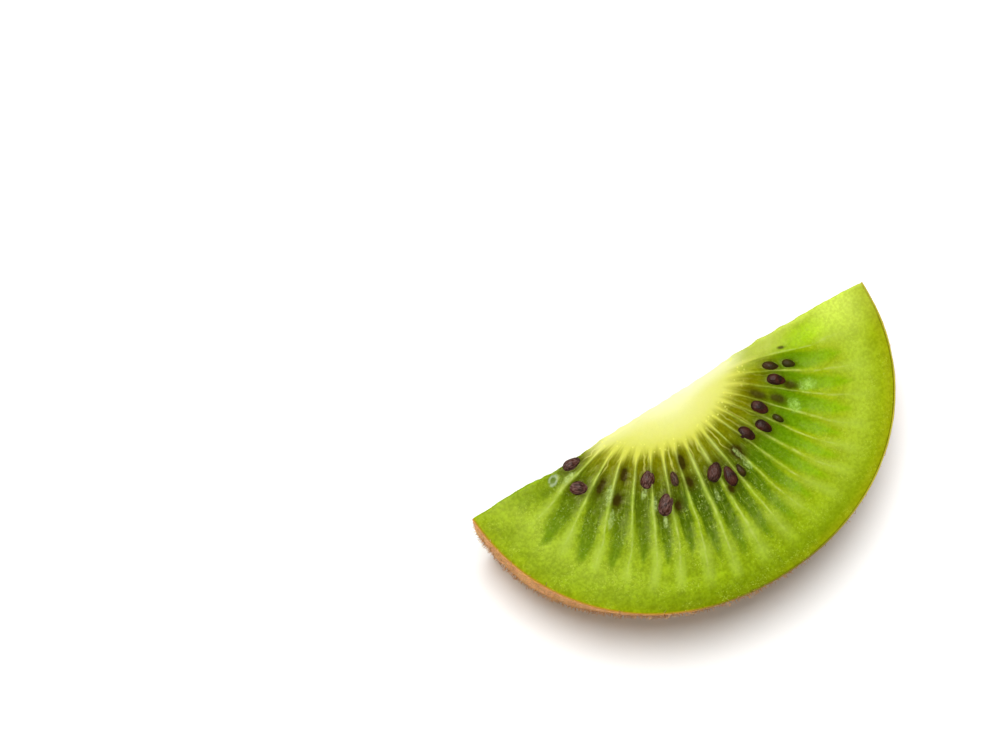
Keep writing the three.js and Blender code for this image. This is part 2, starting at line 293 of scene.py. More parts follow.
SKIN_PINK = colour(234, 164, 108)
SKIN_CUT_LEFT = colour(166, 122, 18)
SKIN_CUT = colour(112, 104, 8)
SKIN_CUT_RIGHT = colour(168, 160, 32)
HAIR_DARK = colour(168, 112, 66)
HAIR_GOLD = colour(236, 192, 130)
FUZZ_DARK = colour(186, 128, 74)
FUZZ_PALE = colour(230, 186, 122)
FLOOR_WHITE = colour(246, 246, 246)
FLOOR_SHADE = colour(240, 240, 240)


def smooth_step(value, low, high):
    share = np.clip((value - low) / (high - low), 0, 1)
    return share * share * (3 - 2 * share)


def signed_power(value, power):
    return np.sign(value) * np.abs(value) ** power


def ring_size(sizes, ring):
    """Half the width or depth of a growth ring: a smooth curve through the sizes of the whole rings."""
    rates = np.gradient(sizes)
    inner = np.clip(np.floor(ring).astype(int), 0, len(sizes) - 2)
    share = np.minimum(ring - inner, 1)
    rest = 1 - share
    start = np.take(sizes, inner) * (1 + 2 * share) + rates[inner] * share
    end = np.take(sizes, inner + 1) * (3 - 2 * share) - rates[inner + 1] * rest
    outside = np.maximum(ring - inner - 1, 0) * rates[inner + 1]
    return start * rest**2 + end * share**2 + outside


def ring_place(angle, ring):
    """x and depth of a growth ring at an angle in degrees, 90 being square to the straight cut."""
    across = signed_power(np.cos(np.radians(angle)), 2 / SQUARENESS)
    down = signed_power(np.sin(np.radians(angle)), 2 / SQUARENESS)
    depth = ring_size(RING_DEPTHS, ring) * down
    return ring_size(RING_WIDTHS, ring) * across + LEAN * depth, depth


def ring_at(x, depth):
    """The angle and growth ring at a place: the reverse of ring_place, by halving the interval."""
    upright = x - LEAN * depth
    low = np.full(np.shape(x), 0.001)
    high = np.full(np.shape(x), 4.0)
    for _ in range(24):
        ring = (low + high) / 2
        across = np.abs(upright) / ring_size(RING_WIDTHS, ring)
        down = np.abs(depth) / ring_size(RING_DEPTHS, ring)
        outside = across**SQUARENESS + down**SQUARENESS > 1
        low = np.where(outside, ring, low)
        high = np.where(outside, high, ring)
    across = signed_power(upright / ring_size(RING_WIDTHS, low), SQUARENESS / 2)
    down = signed_power(depth / ring_size(RING_DEPTHS, low), SQUARENESS / 2)
    angle = np.degrees(np.arctan2(down, across))
    return np.where(angle < -90, angle + 360, angle), low


def pocket_count_at(angle, ring):
    """A number that grows by one from wall to wall, and is whole on each wall."""
    count = np.interp(angle, WALLS, np.arange(len(WALLS)))
    slant = sum(rate * np.exp(-(((count - middle) / reach) ** 2)) for middle, reach, rate in WALL_SLANTS)
    return count + slant * np.clip(ring - SLANT_MIDDLE_RING, -SLANT_REACH, SLANT_REACH)


def pocket_shape(angle, ring):
    """How deep a cut face sinks over a seed pocket, from 0 on a wall to 1 in the middle."""
    across = np.abs(np.sin(np.pi * pocket_count_at(angle, ring)))
    tip = 1.92 + 0.1 * np.abs(np.sin(np.radians(angle))) ** 3
    along = smooth_step(ring, 1, 1.2) * (1 - smooth_step(ring, tip - 0.35, tip))
    return np.sqrt(across) * along


def core_ring(x, depth):
    """Like the growth ring but for the core alone, whose edge is a little more pointed than the outline."""
    across = np.abs(x - LEAN * depth) / RING_WIDTHS[1]
    down = np.abs(depth) / RING_DEPTHS[1]
    return (across**CORE_SQUARENESS + down**CORE_SQUARENESS) ** (1 / CORE_SQUARENESS) / CORE_SPREAD


def pocket_width(angle, ring):
    """Millimetres from one wall to the next."""
    count = np.interp(angle, WALLS, np.arange(len(WALLS)))
    turn = np.radians(np.interp(count, np.arange(len(WALLS) - 1) + 0.5, np.diff(WALLS)))
    return turn * (ring_size(RING_WIDTHS, ring) + ring_size(RING_DEPTHS, ring)) / 2


def barrel(below):
    """How much smaller the fruit is at a distance below the larger face."""
    return np.sqrt(1 - (np.clip(below, 0, THICKNESS) / FRUIT_HALF_LENGTH) ** 2)


def cut_depth(below):
    return below * math.tan(CUT_LEAN)


def cut_wave(x):
    """How far the straight cut stands proud at x."""
    return sum(height * np.exp(-(((x - centre) / spread) ** 2)) for centre, height, spread in CUT_WAVES)


def wave_at(x, from_cut):
    """How far a place is moved by the straight cut's waves, which fade with the distance from the cut."""
    return cut_wave(x) * np.exp(-np.maximum(from_cut, 0) / CUT_WAVE_REACH)


def random_numbers(start):
    """The same repeatable numbers from 0 to 1 that place the solid's hidden seeds."""
    whole = 0xFFFFFFFF
    state = start
    while True:
        state = (state + 0x6D2B79F5) & whole
        mixed = ((state ^ (state >> 15)) * (1 | state)) & whole
        mixed = ((mixed + ((mixed ^ (mixed >> 7)) * (61 | mixed) & whole)) & whole) ^ mixed
        yield ((mixed ^ (mixed >> 14)) & whole) / 4294967296


def axis_place():
    """Where the fruit's axis stands in the frame, from the solid's box and the outline's own reach."""
    low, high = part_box(NODE)
    angles = np.linspace(0, 180, 721)
    x, depth = ring_place(angles, np.full(angles.shape, 3.0))
    return (low.x + high.x) / 2 / MM - (x.min() + x.max()) / 2, low.y / MM + depth.max()


AXIS_X, AXIS_Y = axis_place()


def in_frame(x, depth, height):
    """Points in metres from places in the fruit: x, depth and height over the lower face."""
    return np.stack([AXIS_X + x, AXIS_Y - depth, height], -1) * MM


def frame_point(x, depth, height):
    return Vector(in_frame(*(np.array(float(value)) for value in (x, depth, height))))


def seed_closeness(x, depth, seeds):
    """0 at the middle of the nearest seed of a list, 1 on its edge, more outside it."""
    closest = np.full(np.shape(x), FAR)
    for seed_x, seed_depth, length, width, turn in seeds:
        along = math.cos(math.radians(turn)), -math.sin(math.radians(turn))
        dx, dd = x - seed_x, depth - seed_depth
        lengthways = (dx * along[0] + dd * along[1]) / (length / 2)
        crossways = (dx * along[1] - dd * along[0]) / (width / 2)
        closest = np.minimum(closest, np.hypot(lengthways, crossways))
    return closest


def roughness_of(points, size, seed):
    """Smooth noise from -1 to 1 at points in metres, with features of about size millimetres."""
    offset = Vector([seed * step for step in NOISE_STEPS])
    scale = 1 / (size * MM)
    values = [noise.noise(Vector(point) * scale + offset) for point in points.reshape(-1, 3)]
    return np.array(values).reshape(points.shape[:-1])


# Flesh


def face_rings():
    core = np.linspace(0, 1, CORE_ROWS, endpoint=False)
    pockets = np.linspace(1, 2, POCKET_ROWS, endpoint=False)
    outer = np.linspace(2, FLESH_RING, OUTER_ROWS + 1)
    return np.concatenate([core, pockets, outer])


def flesh_place(angle, ring, below):
    """x and depth of a growth ring at a level under the larger face."""
    x, depth = ring_place(angle, ring)
    return x * barrel(below), depth * barrel(below)


def cut_end_angle(below, ring):
    """The angle at which a growth ring meets the straight cut, at a level."""
    reach = barrel(below) * ring_size(RING_DEPTHS, ring)
    return np.degrees(np.arcsin((cut_depth(below) / reach) ** (SQUARENESS / 2)))


def rim_angles(below, ring):
    end = cut_end_angle(below, ring)
    return end + (180 - 2 * end) * np.linspace(0, 1, COLUMNS + 1)


def upper_face():
    rings = face_rings()[:, None]
    x, depth = ring_place(rim_angles(0, FLESH_RING)[None, :], rings)
    return x, depth, np.zeros_like(x)


def lower_face():
    share = (ring_size(RING_WIDTHS, face_rings()) / ring_size(RING_WIDTHS, FLESH_RING))[:, None]
    rim_x, rim_depth = flesh_place(rim_angles(THICKNESS, FLESH_RING), FLESH_RING, THICKNESS)
    middle_depth = cut_depth(THICKNESS)
    middle_x = LEAN * middle_depth
    x = middle_x + (rim_x[None, :] - middle_x) * share
    depth = middle_depth + (rim_depth[None, :] - middle_depth) * share
    return x, depth, np.full(x.shape, float(THICKNESS))


def levels():
    return (THICKNESS * np.linspace(0, 1, ROWS_DOWN + 1))[:, None]


def straight_cut():
    share = ring_size(RING_WIDTHS, face_rings()) / ring_size(RING_WIDTHS, FLESH_RING)
    below = levels()
    middle_x = LEAN * cut_depth(below)
    end = cut_end_angle(below, FLESH_RING)
    right_x, _ = flesh_place(end, FLESH_RING, below)
    left_x, _ = flesh_place(180 - end, FLESH_RING, below)
    left = middle_x + (left_x - middle_x) * share[None, :0:-1]
    right = middle_x + (right_x - middle_x) * share[None, :]
    x = np.concatenate([left, right], 1)
    below = np.broadcast_to(below, x.shape)
    return x, cut_depth(below), below


def under_skin():
    below = levels()
    x, depth = flesh_place(rim_angles(below, FLESH_RING), FLESH_RING, below)
    return x, depth, np.broadcast_to(below, x.shape)


def grid_quads(rows, columns, start, turned):
    corner = start + (np.arange(rows - 1)[:, None] * columns + np.arange(columns - 1)[None, :]).ravel()
    quads = np.stack([corner, corner + 1, corner + columns + 1, corner + columns], 1)
    return quads[:, ::-1] if turned else quads


def weld(points, quads):
    """Joins points at one place, and returns the kept ones and faces of three or four corners."""
    rounded = np.round(points / (MM * 1e-3))
    _, first, whole = np.unique(rounded, axis=0, return_index=True, return_inverse=True)
    faces = []
    for quad in whole.ravel()[quads].tolist():
        face = [corner for step, corner in enumerate(quad) if corner != quad[step - 1]]
        if len(face) > 2:
            faces.append(face)
    return first, faces


def near(value, place, reach):
    return np.exp(-(((value - place) / reach) ** 2))


def new_object(name, data):
    piece = bpy.data.objects.new(name, data)
    bpy.context.scene.collection.objects.link(piece)
    return piece


def mesh_piece(name, points, faces, material, smooth=True):
    mesh = bpy.data.meshes.new(name)
    mesh.from_pydata(points.tolist(), [], faces)
    mesh.polygons.foreach_set("use_smooth", [smooth] * len(mesh.polygons))
    mesh.materials.append(material)
    mesh.update()
    return new_object(name, mesh)


def store(piece, name, values):
    attribute = piece.data.attributes.new(name, "FLOAT", "POINT")
    attribute.data.foreach_set("value", np.asarray(values, np.float32).ravel())


def flesh_grids():
    """x, depth and distance below for each point of the flesh's four sides, and their quads' corners."""
    sides = ((upper_face(), False), (under_skin(), False), (straight_cut(), False), (lower_face(), True))
    quads, start = [], 0
    for (x, _, _), turned in sides:
        quads.append(grid_quads(*x.shape, start, turned))
        start += x.size
    x, depth, below = (np.concatenate([side[axis].ravel() for side, _ in sides]) for axis in range(3))
    return x, depth, below, np.concatenate(quads)


def face_relief(ring, pocket):
    """How far the larger face stands proud: up over the core and down in the pockets."""
    return CORE_RISE * (1 - smooth_step(ring, CORE_RISE_FROM, 1)) - POCKET_SINK * pocket


def flesh_relief(x, depth, below, ring, pocket, nearest_seed):
    """How far each point is lifted, and how far it is pressed in from the straight cut, in millimetres."""
    from_cut = depth - cut_depth(below)
    points = in_frame(x, depth, THICKNESS - below)
    grain = roughness_of(points, FLESH_GRAIN_SIZE, 1)
    lumps = roughness_of(points, FLESH_LUMP_SIZE, 2)
    wetness = 1 - RIGHT_DRYNESS * smooth_step(x, 0, DRY_FROM_X)
    grit = (OUTER_GRAIN + POCKET_GRAIN * wetness * pocket) * grain + SURFACE_LUMPS * lumps
    collar = SEED_COLLAR * near(nearest_seed, COLLAR_PLACE, COLLAR_REACH)
    rim_drop = RIM_DROP * smooth_step(ring, RIM_DROP_FROM, FLESH_RING)
    edge_drop = EDGE_DROP * near(from_cut, 0, EDGE_DROP_REACH)
    lift = near(below, 0, FACE_REACH) * (face_relief(ring, pocket) + grit + collar - rim_drop - edge_drop)
    hollow = POCKET_SINK * pocket + OUTER_GRAIN * np.abs(grain) * pocket
    lift += near(below, THICKNESS, FACE_REACH) * hollow
    fray = CUT_FRAY * near(below, 0, CUT_FRAY_REACH)
    fray *= np.maximum(roughness_of(points, FRAY_SIZE, 8), -FRAY_DEEPEST)
    inwards = near(from_cut, 0, CUT_REACH) * (CUT_POCKET_SINK * pocket + grit - fray)
    return lift, inwards - wave_at(x, from_cut)


def store_patterns(piece, x, depth, below, angle, ring):
    """Stores what the flesh's colours need to know of each point."""
    scale = barrel(below)
    store(piece, "ring", ring)
    store(piece, "core_ring", core_ring(x / scale, depth / scale))
    store(piece, "pocket_count", pocket_count_at(angle, ring))
    store(piece, "pocket_width", pocket_width(angle, ring))
    store(piece, "from_edge", np.hypot(depth - cut_depth(below), below))
    for name, patches in UPPER_PATCHES.items():
        store(piece, name, np.where(below < PATCH_DEPTH, seed_closeness(x, depth, patches), FAR))


def make_flesh(seeds, material):
    x, depth, below, quads = flesh_grids()
    first, faces = weld(in_frame(x, depth, THICKNESS - below), quads)
    x, depth, below = x[first], depth[first], below[first]
    angle, ring = ring_at(x / barrel(below), depth / barrel(below))
    nearest_seed = closeness_of(x, -depth, THICKNESS - below, seeds)
    lift, inwards = flesh_relief(x, depth, below, ring, pocket_shape(angle, ring), nearest_seed)
    height = np.maximum(THICKNESS - below + lift, 0)
    piece = mesh_piece("flesh", in_frame(x, depth + inwards, height), faces, material)
    store_patterns(piece, x, depth, below, angle, ring)
    store(piece, "seed_closeness", nearest_seed)
    return piece


# Seeds


def seed_turn(lengthways, face_lean):
    """A seed lies along a face: turned in it first, and then leant with it."""
    return Euler((face_lean, 0, 0)).to_matrix() @ Euler((0, 0, lengthways)).to_matrix()


def upper_seeds():
    found = []
    for x, depth, length, width, turn in UPPER_SEEDS:
        angle, ring = ring_at(np.array(x), np.array(depth))
        relief = float(face_relief(ring, pocket_shape(angle, ring)))
        place = (x, -depth, THICKNESS + relief - SEED_SUNK)
        found.append((place, seed_turn(math.radians(turn), 0), (length, width, SEED_THICKNESS)))
    return found


def lower_seeds(numbers):
    """One in each pocket of the lower face that the straight cut has left whole."""
    found = []
    scale = float(barrel(THICKNESS))
    for pocket in range(1, len(HALF_WALLS)):
        middle = (WALLS[pocket] + WALLS[pocket + 1]) / 2
        ring = LOWER_SEED_RING + LOWER_SEED_RING_SPREAD * next(numbers)
        length = HIDDEN_SEED_LENGTH + HIDDEN_SEED_SPREAD * (next(numbers) - 0.5)
        turn = math.radians(LOWER_SEED_TURN_SPREAD) * (next(numbers) - 0.5)
        x, depth = (float(value) for value in ring_place(middle, np.array(ring)))
        if depth * scale > cut_depth(THICKNESS) + length:
            place = (x * scale, -depth * scale, SEED_THICKNESS / 2 + FLOOR_CLEARANCE)
            size = (length, HIDDEN_SEED_WIDTH, SEED_THICKNESS)
            found.append((place, seed_turn(math.atan2(-depth, x) + turn, 0), size))
    return found


def cut_place(x, below):
    """A point of the straight cut: x, the frame's own y from the axis, and height."""
    depth = cut_depth(below) - float(cut_wave(x))
    scale = float(barrel(below))
    angle, ring = ring_at(np.array(x / scale), np.array(max(depth, 0) / scale))
    return x, -depth - CUT_POCKET_SINK * float(pocket_shape(angle, ring)), THICKNESS - below


def cut_seeds(numbers):
    """Seeds that the straight cut bares, one below the other where it crosses the pockets."""
    found = []
    for side in (-1, 1):
        for row in range(CUT_SEEDS_PER_SIDE):
            level = row + 1 + CUT_SEED_LEVEL_SPREAD * (next(numbers) - 0.5)
            below = THICKNESS * level / (CUT_SEEDS_PER_SIDE + 1)
            place = cut_place(side * (CUT_SEED_NEAREST_X + CUT_SEED_X_SPREAD * next(numbers)), below)
            turn = seed_turn(math.pi * (next(numbers) - 0.5), math.pi / 2 - CUT_LEAN)
            found.append((place, turn, (HIDDEN_SEED_LENGTH, HIDDEN_SEED_WIDTH, SEED_THICKNESS)))
    return found


def closeness_of(x, y, height, seeds):
    """0 at the middle of the nearest seed, 1 on its surface, more outside it; y is from the axis."""
    points = np.stack([x, y, height], -1)
    closest = np.full(x.shape, FAR)
    for place, turn, size in seeds:
        reach = np.abs(points - place).max(-1) < SEED_SURROUNDINGS
        local = (points[reach] - place) @ np.array(turn) / (np.array(size) / 2)
        closest[reach] = np.minimum(closest[reach], np.linalg.norm(local, axis=-1))
    return closest


def seed_shape(material):
    """One egg-shaped seed of unit size, blunt at one end and pointed at the other."""
    mesh = bpy.data.meshes.new("seed_shape")
    shell = bmesh.new()
    bmesh.ops.create_icosphere(shell, subdivisions=4, radius=0.5)
    for vertex in shell.verts:
        taper = 1 - SEED_TAPER * vertex.co.x
        vertex.co.y *= taper
        vertex.co.z *= taper
    shell.to_mesh(mesh)
    shell.free()
    mesh.polygons.foreach_set("use_smooth", [True] * len(mesh.polygons))
    mesh.materials.append(material)
    own = mesh.attributes.new("own_place", "FLOAT_VECTOR", "POINT")
    own.data.foreach_set("vector", np.array([tuple(vertex.co) for vertex in mesh.vertices]).ravel())
    return new_object("seed_shape", mesh)


def node_group(name, sizes):
    """An empty Geometry Nodes tree with a geometry going in and out, and named numbers."""
    tree = bpy.data.node_groups.new(name, "GeometryNodeTree")
    tree.interface.new_socket("Geometry", in_out="INPUT", socket_type="NodeSocketGeometry")
    for size_name, value in sizes.items():
        kind = "NodeSocketInt" if isinstance(value, int) else "NodeSocketFloat"
        tree.interface.new_socket(size_name, in_out="INPUT", socket_type=kind).default_value = value
    tree.interface.new_socket("Geometry", in_out="OUTPUT", socket_type="NodeSocketGeometry")
    return tree, tree.nodes.new("NodeGroupInput"), tree.nodes.new("NodeGroupOutput")


def feed(tree, socket, value):
    """Links a socket, or sets a plain value."""
    if isinstance(value, bpy.types.NodeSocket):
        tree.links.new(value, socket)
    else:
        socket.default_value = value


def add_node(tree, kind, inputs=(), **settings):
    node = tree.nodes.new(kind)
    for name, value in settings.items():
        setattr(node, name, value)
    for name, value in dict(inputs).items():
        feed(tree, node.inputs[name], value)
    return node


def vector_maths(tree, operation, inputs):
    return add_node(tree, "ShaderNodeVectorMath", inputs, operation=operation).outputs["Vector"]


def stored_value(tree, name, kind):
    node = add_node(tree, "GeometryNodeInputNamedAttribute", {"Name": name}, data_type=kind)
    return node.outputs["Attribute"]


def place_and_paint(tree, result, instances, material):
    """Puts an instance on each point, makes them all real and gives them their material."""
    placed = add_node(tree, "GeometryNodeInstanceOnPoints", instances)
    real = add_node(tree, "GeometryNodeRealizeInstances", {"Geometry": placed.outputs["Instances"]})
    inputs = {"Geometry": real.outputs["Geometry"], "Material": material}
    painted = add_node(tree, "GeometryNodeSetMaterial", inputs)
    tree.links.new(painted.outputs["Geometry"], result.inputs["Geometry"])


def grown_piece(name, ground, tree, sizes):
    """Runs a Geometry Nodes tree over a mesh and keeps the result as a plain piece."""
    grower = ground.modifiers.new(name, "NODES")
    grower.node_group = tree
    for item in tree.interface.items_tree:
        if item.item_type == "SOCKET" and item.in_out == "INPUT" and item.name in sizes:
            grower[item.identifier] = sizes[item.name]
    depsgraph = bpy.context.evaluated_depsgraph_get()
    mesh = bpy.data.meshes.new_from_object(ground.evaluated_get(depsgraph), depsgraph=depsgraph)
    mesh.name = name
    ground.modifiers.remove(grower)
    bpy.data.objects.remove(ground)
    return new_object(name, mesh)


def seed_points(seeds):
    """A mesh of bare points, one for each seed, that carry its turn, its size and its film."""
    places = np.array([place for place, _, _ in seeds])
    points = in_frame(places[:, 0], -places[:, 1], places[:, 2])
    mesh = bpy.data.meshes.new("seed_points")
    mesh.from_pydata(points.tolist(), [], [])
    turns = mesh.attributes.new("turn", "FLOAT_VECTOR", "POINT")
    turns.data.foreach_set("vector", np.array([turn.to_euler() for _, turn, _ in seeds]).ravel())
    sizes = mesh.attributes.new("size", "FLOAT_VECTOR", "POINT")
    sizes.data.foreach_set("vector", np.array([size for _, _, size in seeds]).ravel() * MM)
    films = mesh.attributes.new("film", "FLOAT", "POINT")
    films.data.foreach_set("value", [SEED_FILMS.get(number, 0.0) for number in range(len(seeds))])
    return new_object("seed_points", mesh)


def sow(name, seeds, material):
    """Puts one seed on each seed's place, turned and sized to it."""
    shape = seed_shape(material)
    sizes = {"Plumpness": SEED_PLUMPNESS}
    tree, entry, result = node_group(name, sizes)
    turn = stored_value(tree, "turn", "FLOAT_VECTOR")
    size = stored_value(tree, "size", "FLOAT_VECTOR")
    rotation = add_node(tree, "FunctionNodeEulerToRotation", {"Euler": turn})
    seed = add_node(tree, "GeometryNodeObjectInfo", {"Object": shape})
    instances = {
        "Points": entry.outputs["Geometry"],
        "Instance": seed.outputs["Geometry"],
        "Rotation": rotation.outputs["Rotation"],
        "Scale": vector_maths(tree, "SCALE", {0: size, "Scale": entry.outputs["Plumpness"]}),
    }
    place_and_paint(tree, result, instances, material)
    piece = grown_piece(name, seed_points(seeds), tree, sizes)
    bpy.data.objects.remove(shape)
    return piece


def pit_seeds(piece):
    """Presses shallow pits into every seed and makes it a little lumpy."""
    mesh = piece.data
    mesh.update()
    normals = np.array([tuple(vertex.normal) for vertex in mesh.vertices])
    points = np.array([tuple(vertex.co) for vertex in mesh.vertices])
    pits = [noise.voronoi(Vector(point) / (SEED_PIT_SPACING * MM))[0][0] for point in points]
    press = SEED_PIT_DEPTH * MM * (smooth_step(np.array(pits), *SEED_PIT_SLOPE) - 1)
    lumps = SEED_LUMPS * MM * roughness_of(points, SEED_LUMP_SIZE, 3)
    mesh.vertices.foreach_set("co", (points + normals * (press + lumps)[:, None]).ravel())
    mesh.update()


# Skin


def skin_bulge(angle, below):
    """How far the skin swells out between the two cut faces."""
    middle, spread, height = SIDE_BULGE
    most = SKIN_BULGE + height * np.exp(-(((angle - middle) / spread) ** 2))
    return most * np.sin(np.pi * np.clip(below, 0, THICKNESS) / THICKNESS)


def skin_shell():
    """Places round the skin, down the outside and up the inside, and how far each belongs to the outside."""
    below = levels()
    inner_ring = 3 - SKIN_THICKNESS / (RING_DEPTHS[3] - RING_DEPTHS[2])
    rings = (3, (3 + inner_ring) / 2, inner_ring)
    outer, middle, inner = (flesh_place(rim_angles(below, ring), ring, below) for ring in rings)
    x, depth = (
        np.concatenate([outer[axis], middle[axis][-1:], inner[axis][::-1], middle[axis][:1]])
        for axis in range(2)
    )
    below = np.concatenate([below, below[-1:], below[::-1], below[:1]])
    bark = np.ones(below.shape)
    bark[ROWS_DOWN + 1] = bark[-1] = 0.5
    bark[ROWS_DOWN + 2 : -1] = 0
    return x, depth, below, np.broadcast_to(bark, x.shape)


def skin_faces(rows):
    """Quads between neighbouring rows, the last of which joins the first, and a cap at either end."""
    corner = np.arange(rows)[:, None] * (COLUMNS + 1) + np.arange(COLUMNS)[None, :]
    next_row = np.roll(corner, -1, 0)
    quads = np.stack([corner, corner + 1, next_row + 1, next_row], -1).reshape(-1, 4)
    first_cap = (np.arange(rows) * (COLUMNS + 1)).tolist()
    last_cap = [corner + COLUMNS for corner in reversed(first_cap)]
    return quads.tolist() + [first_cap, last_cap]


def make_skin(material):
    """A thin lumpy shell round the flesh, that swells between the cut faces."""
    x, depth, below, bark = skin_shell()
    bulge = skin_bulge(rim_angles(below, 3), below)
    below = np.broadcast_to(below, x.shape)
    points = in_frame(x, depth, THICKNESS - below)
    lip = near(below, 0, SKIN_EDGE_REACH)
    lip *= SKIN_LIP + SKIN_LIP * roughness_of(points, SKIN_LIP_SIZE, 5)
    foot = near(below, THICKNESS, SKIN_EDGE_REACH) * FLOOR_CLEARANCE
    lumps = roughness_of(points, SKIN_LUMP_SIZE, 4) + 0.5 * roughness_of(points, SKIN_BARK_SIZE, 6)
    lumps *= SKIN_LUMPS * (SKIN_CALM_RIM + (1 - SKIN_CALM_RIM) * smooth_step(below, 0, SKIN_CALM_BELOW))
    swell = 1 + bark * np.maximum(lumps + bulge, -SKIN_DENT) / HALF_DEPTH
    wave = wave_at(x, depth - cut_depth(below))
    points = in_frame(x * swell, depth * swell - wave, THICKNESS - below + lip + foot)
    piece = mesh_piece("skin", points.reshape(-1, 3), skin_faces(len(below)), material)
    store(piece, "bark", bark)
    return piece


def hair_ground():
    """The skin's outer surface, where hairs can grow, with the share of the coat that each place has."""
    below = levels()
    angle = rim_angles(below, 3)
    x, depth = flesh_place(angle, 3, below)
    swell = 1 + skin_bulge(angle, below) / HALF_DEPTH
    x, depth = x * swell, depth * swell
    points = in_frame(x, depth, THICKNESS - np.broadcast_to(below, x.shape)).reshape(-1, 3)
    mesh = bpy.data.meshes.new("hair_ground")
    mesh.from_pydata(points.tolist(), [], grid_quads(*x.shape, 0, False).tolist())
    ground = new_object("hair_ground", mesh)
    bare = smooth_step(x, *BARE_RIM_X) * (1 - smooth_step(below, *BARE_RIM_BELOW))
    store(ground, "coat", 1 - BARE_RIM_SHARE * bare)
    return ground


def hair_shape(tree, entry):
    """A curled hair that tapers to its tip, standing on its root."""
    inputs = {
        "Resolution": entry.outputs["Steps"],
        "Rotations": entry.outputs["Curl"],
        "Start Radius": CURL_START * MM,
        "End Radius": CURL_END * MM,
        "Height": entry.outputs["Length"],
    }
    coil = add_node(tree, "GeometryNodeCurveSpiral", inputs)
    inputs = {"Geometry": coil.outputs["Curve"], "Translation": (-CURL_START * MM, 0, 0)}
    rooted = add_node(tree, "GeometryNodeTransform", inputs)
    along = add_node(tree, "GeometryNodeSplineParameter")
    inputs = {"Value": along.outputs["Factor"], "From Min": TAPER_FROM, "To Min": 1.0, "To Max": HAIR_TIP}
    taper = add_node(tree, "ShaderNodeMapRange", inputs)
    inputs = {"Curve": rooted.outputs["Geometry"], "Radius": taper.outputs["Result"]}
    tapered = add_node(tree, "GeometryNodeSetCurveRadius", inputs)
    inputs = {"Resolution": HAIR_SIDES, "Radius": entry.outputs["Thickness"]}
    section = add_node(tree, "GeometryNodeCurvePrimitiveCircle", inputs)
    curve, profile = tapered.outputs["Curve"], section.outputs["Curve"]
    inputs = {"Curve": curve, "Profile Curve": profile, "Fill Caps": True}
    return add_node(tree, "GeometryNodeCurveToMesh", inputs)


def hair_turns(tree, entry, normal):
    """Each hair leans along the skin in a direction of its own, and is spun about itself."""
    inputs = {"Min": (-1, -1, -1), "Max": (1, 1, 1), "Seed": entry.outputs["Seed"]}
    sideways = add_node(tree, "FunctionNodeRandomValue", inputs, data_type="FLOAT_VECTOR").outputs[0]
    upright = vector_maths(tree, "SCALE", {0: normal, "Scale": entry.outputs["Lift"]})
    lying = vector_maths(tree, "CROSS_PRODUCT", {0: sideways, 1: normal})
    straight = vector_maths(tree, "NORMALIZE", {0: lying})
    leaning = vector_maths(tree, "ADD", {0: straight, 1: upright})
    aimed = add_node(tree, "FunctionNodeAlignRotationToVector", {"Vector": leaning}, axis="Z")
    inputs = {"Min": (0, 0, -math.pi), "Max": (0, 0, math.pi), "Seed": SPIN_SEED}
    spun = add_node(tree, "FunctionNodeRandomValue", inputs, data_type="FLOAT_VECTOR").outputs[0]
    spin = add_node(tree, "FunctionNodeEulerToRotation", {"Euler": spun})
    inputs = {"Rotation": aimed.outputs["Rotation"], "Rotate By": spin.outputs["Rotation"]}
    turned = add_node(tree, "FunctionNodeRotateRotation", inputs, rotation_space="LOCAL")
    return turned.outputs["Rotation"]


def hair_stretch(tree):
    """A random size for each hair, as a share of the usual one."""
    stretch = add_node(tree, "FunctionNodeRandomValue", {"Seed": STRETCH_SEED}, data_type="FLOAT")
    for socket, value in (("Min", HAIR_SHORTEST), ("Max", HAIR_LONGEST)):
        next(one for one in stretch.inputs if one.name == socket and one.enabled).default_value = value
    return next(one for one in stretch.outputs if one.enabled)


def grow_hairs(name, sizes, material):
    """Grows one coat of hairs on the skin's outer surface."""
    tree, entry, result = node_group(name, sizes)
    inputs = {0: stored_value(tree, "coat", "FLOAT"), 1: entry.outputs["Hairs per square metre"]}
    density = add_node(tree, "ShaderNodeMath", inputs, operation="MULTIPLY").outputs["Value"]
    inputs = {"Mesh": entry.outputs["Geometry"], "Density": density, "Seed": entry.outputs["Seed"]}
    roots = add_node(tree, "GeometryNodeDistributePointsOnFaces", inputs)
    instances = {
        "Points": roots.outputs["Points"],
        "Instance": hair_shape(tree, entry).outputs["Mesh"],
        "Rotation": hair_turns(tree, entry, roots.outputs["Normal"]),
        "Scale": hair_stretch(tree),
    }
    place_and_paint(tree, result, instances, material)
    piece = grown_piece(name, hair_ground(), tree, sizes)
    keep_hairs_in_reach(piece)
    return piece


def keep_hairs_in_reach(piece):
    """Flattens hairs that would go through the floor or stand high over the cut face."""
    mesh = piece.data
    points = np.array([tuple(vertex.co) for vertex in mesh.vertices])
    points[:, 2] = np.clip(points[:, 2], FLOOR_CLEARANCE * MM, (THICKNESS + HAIR_OVER_FACE) * MM)
    mesh.vertices.foreach_set("co", points.ravel())
    mesh.polygons.foreach_set("use_smooth", [True] * len(mesh.polygons))
    mesh.update()


# Finishes


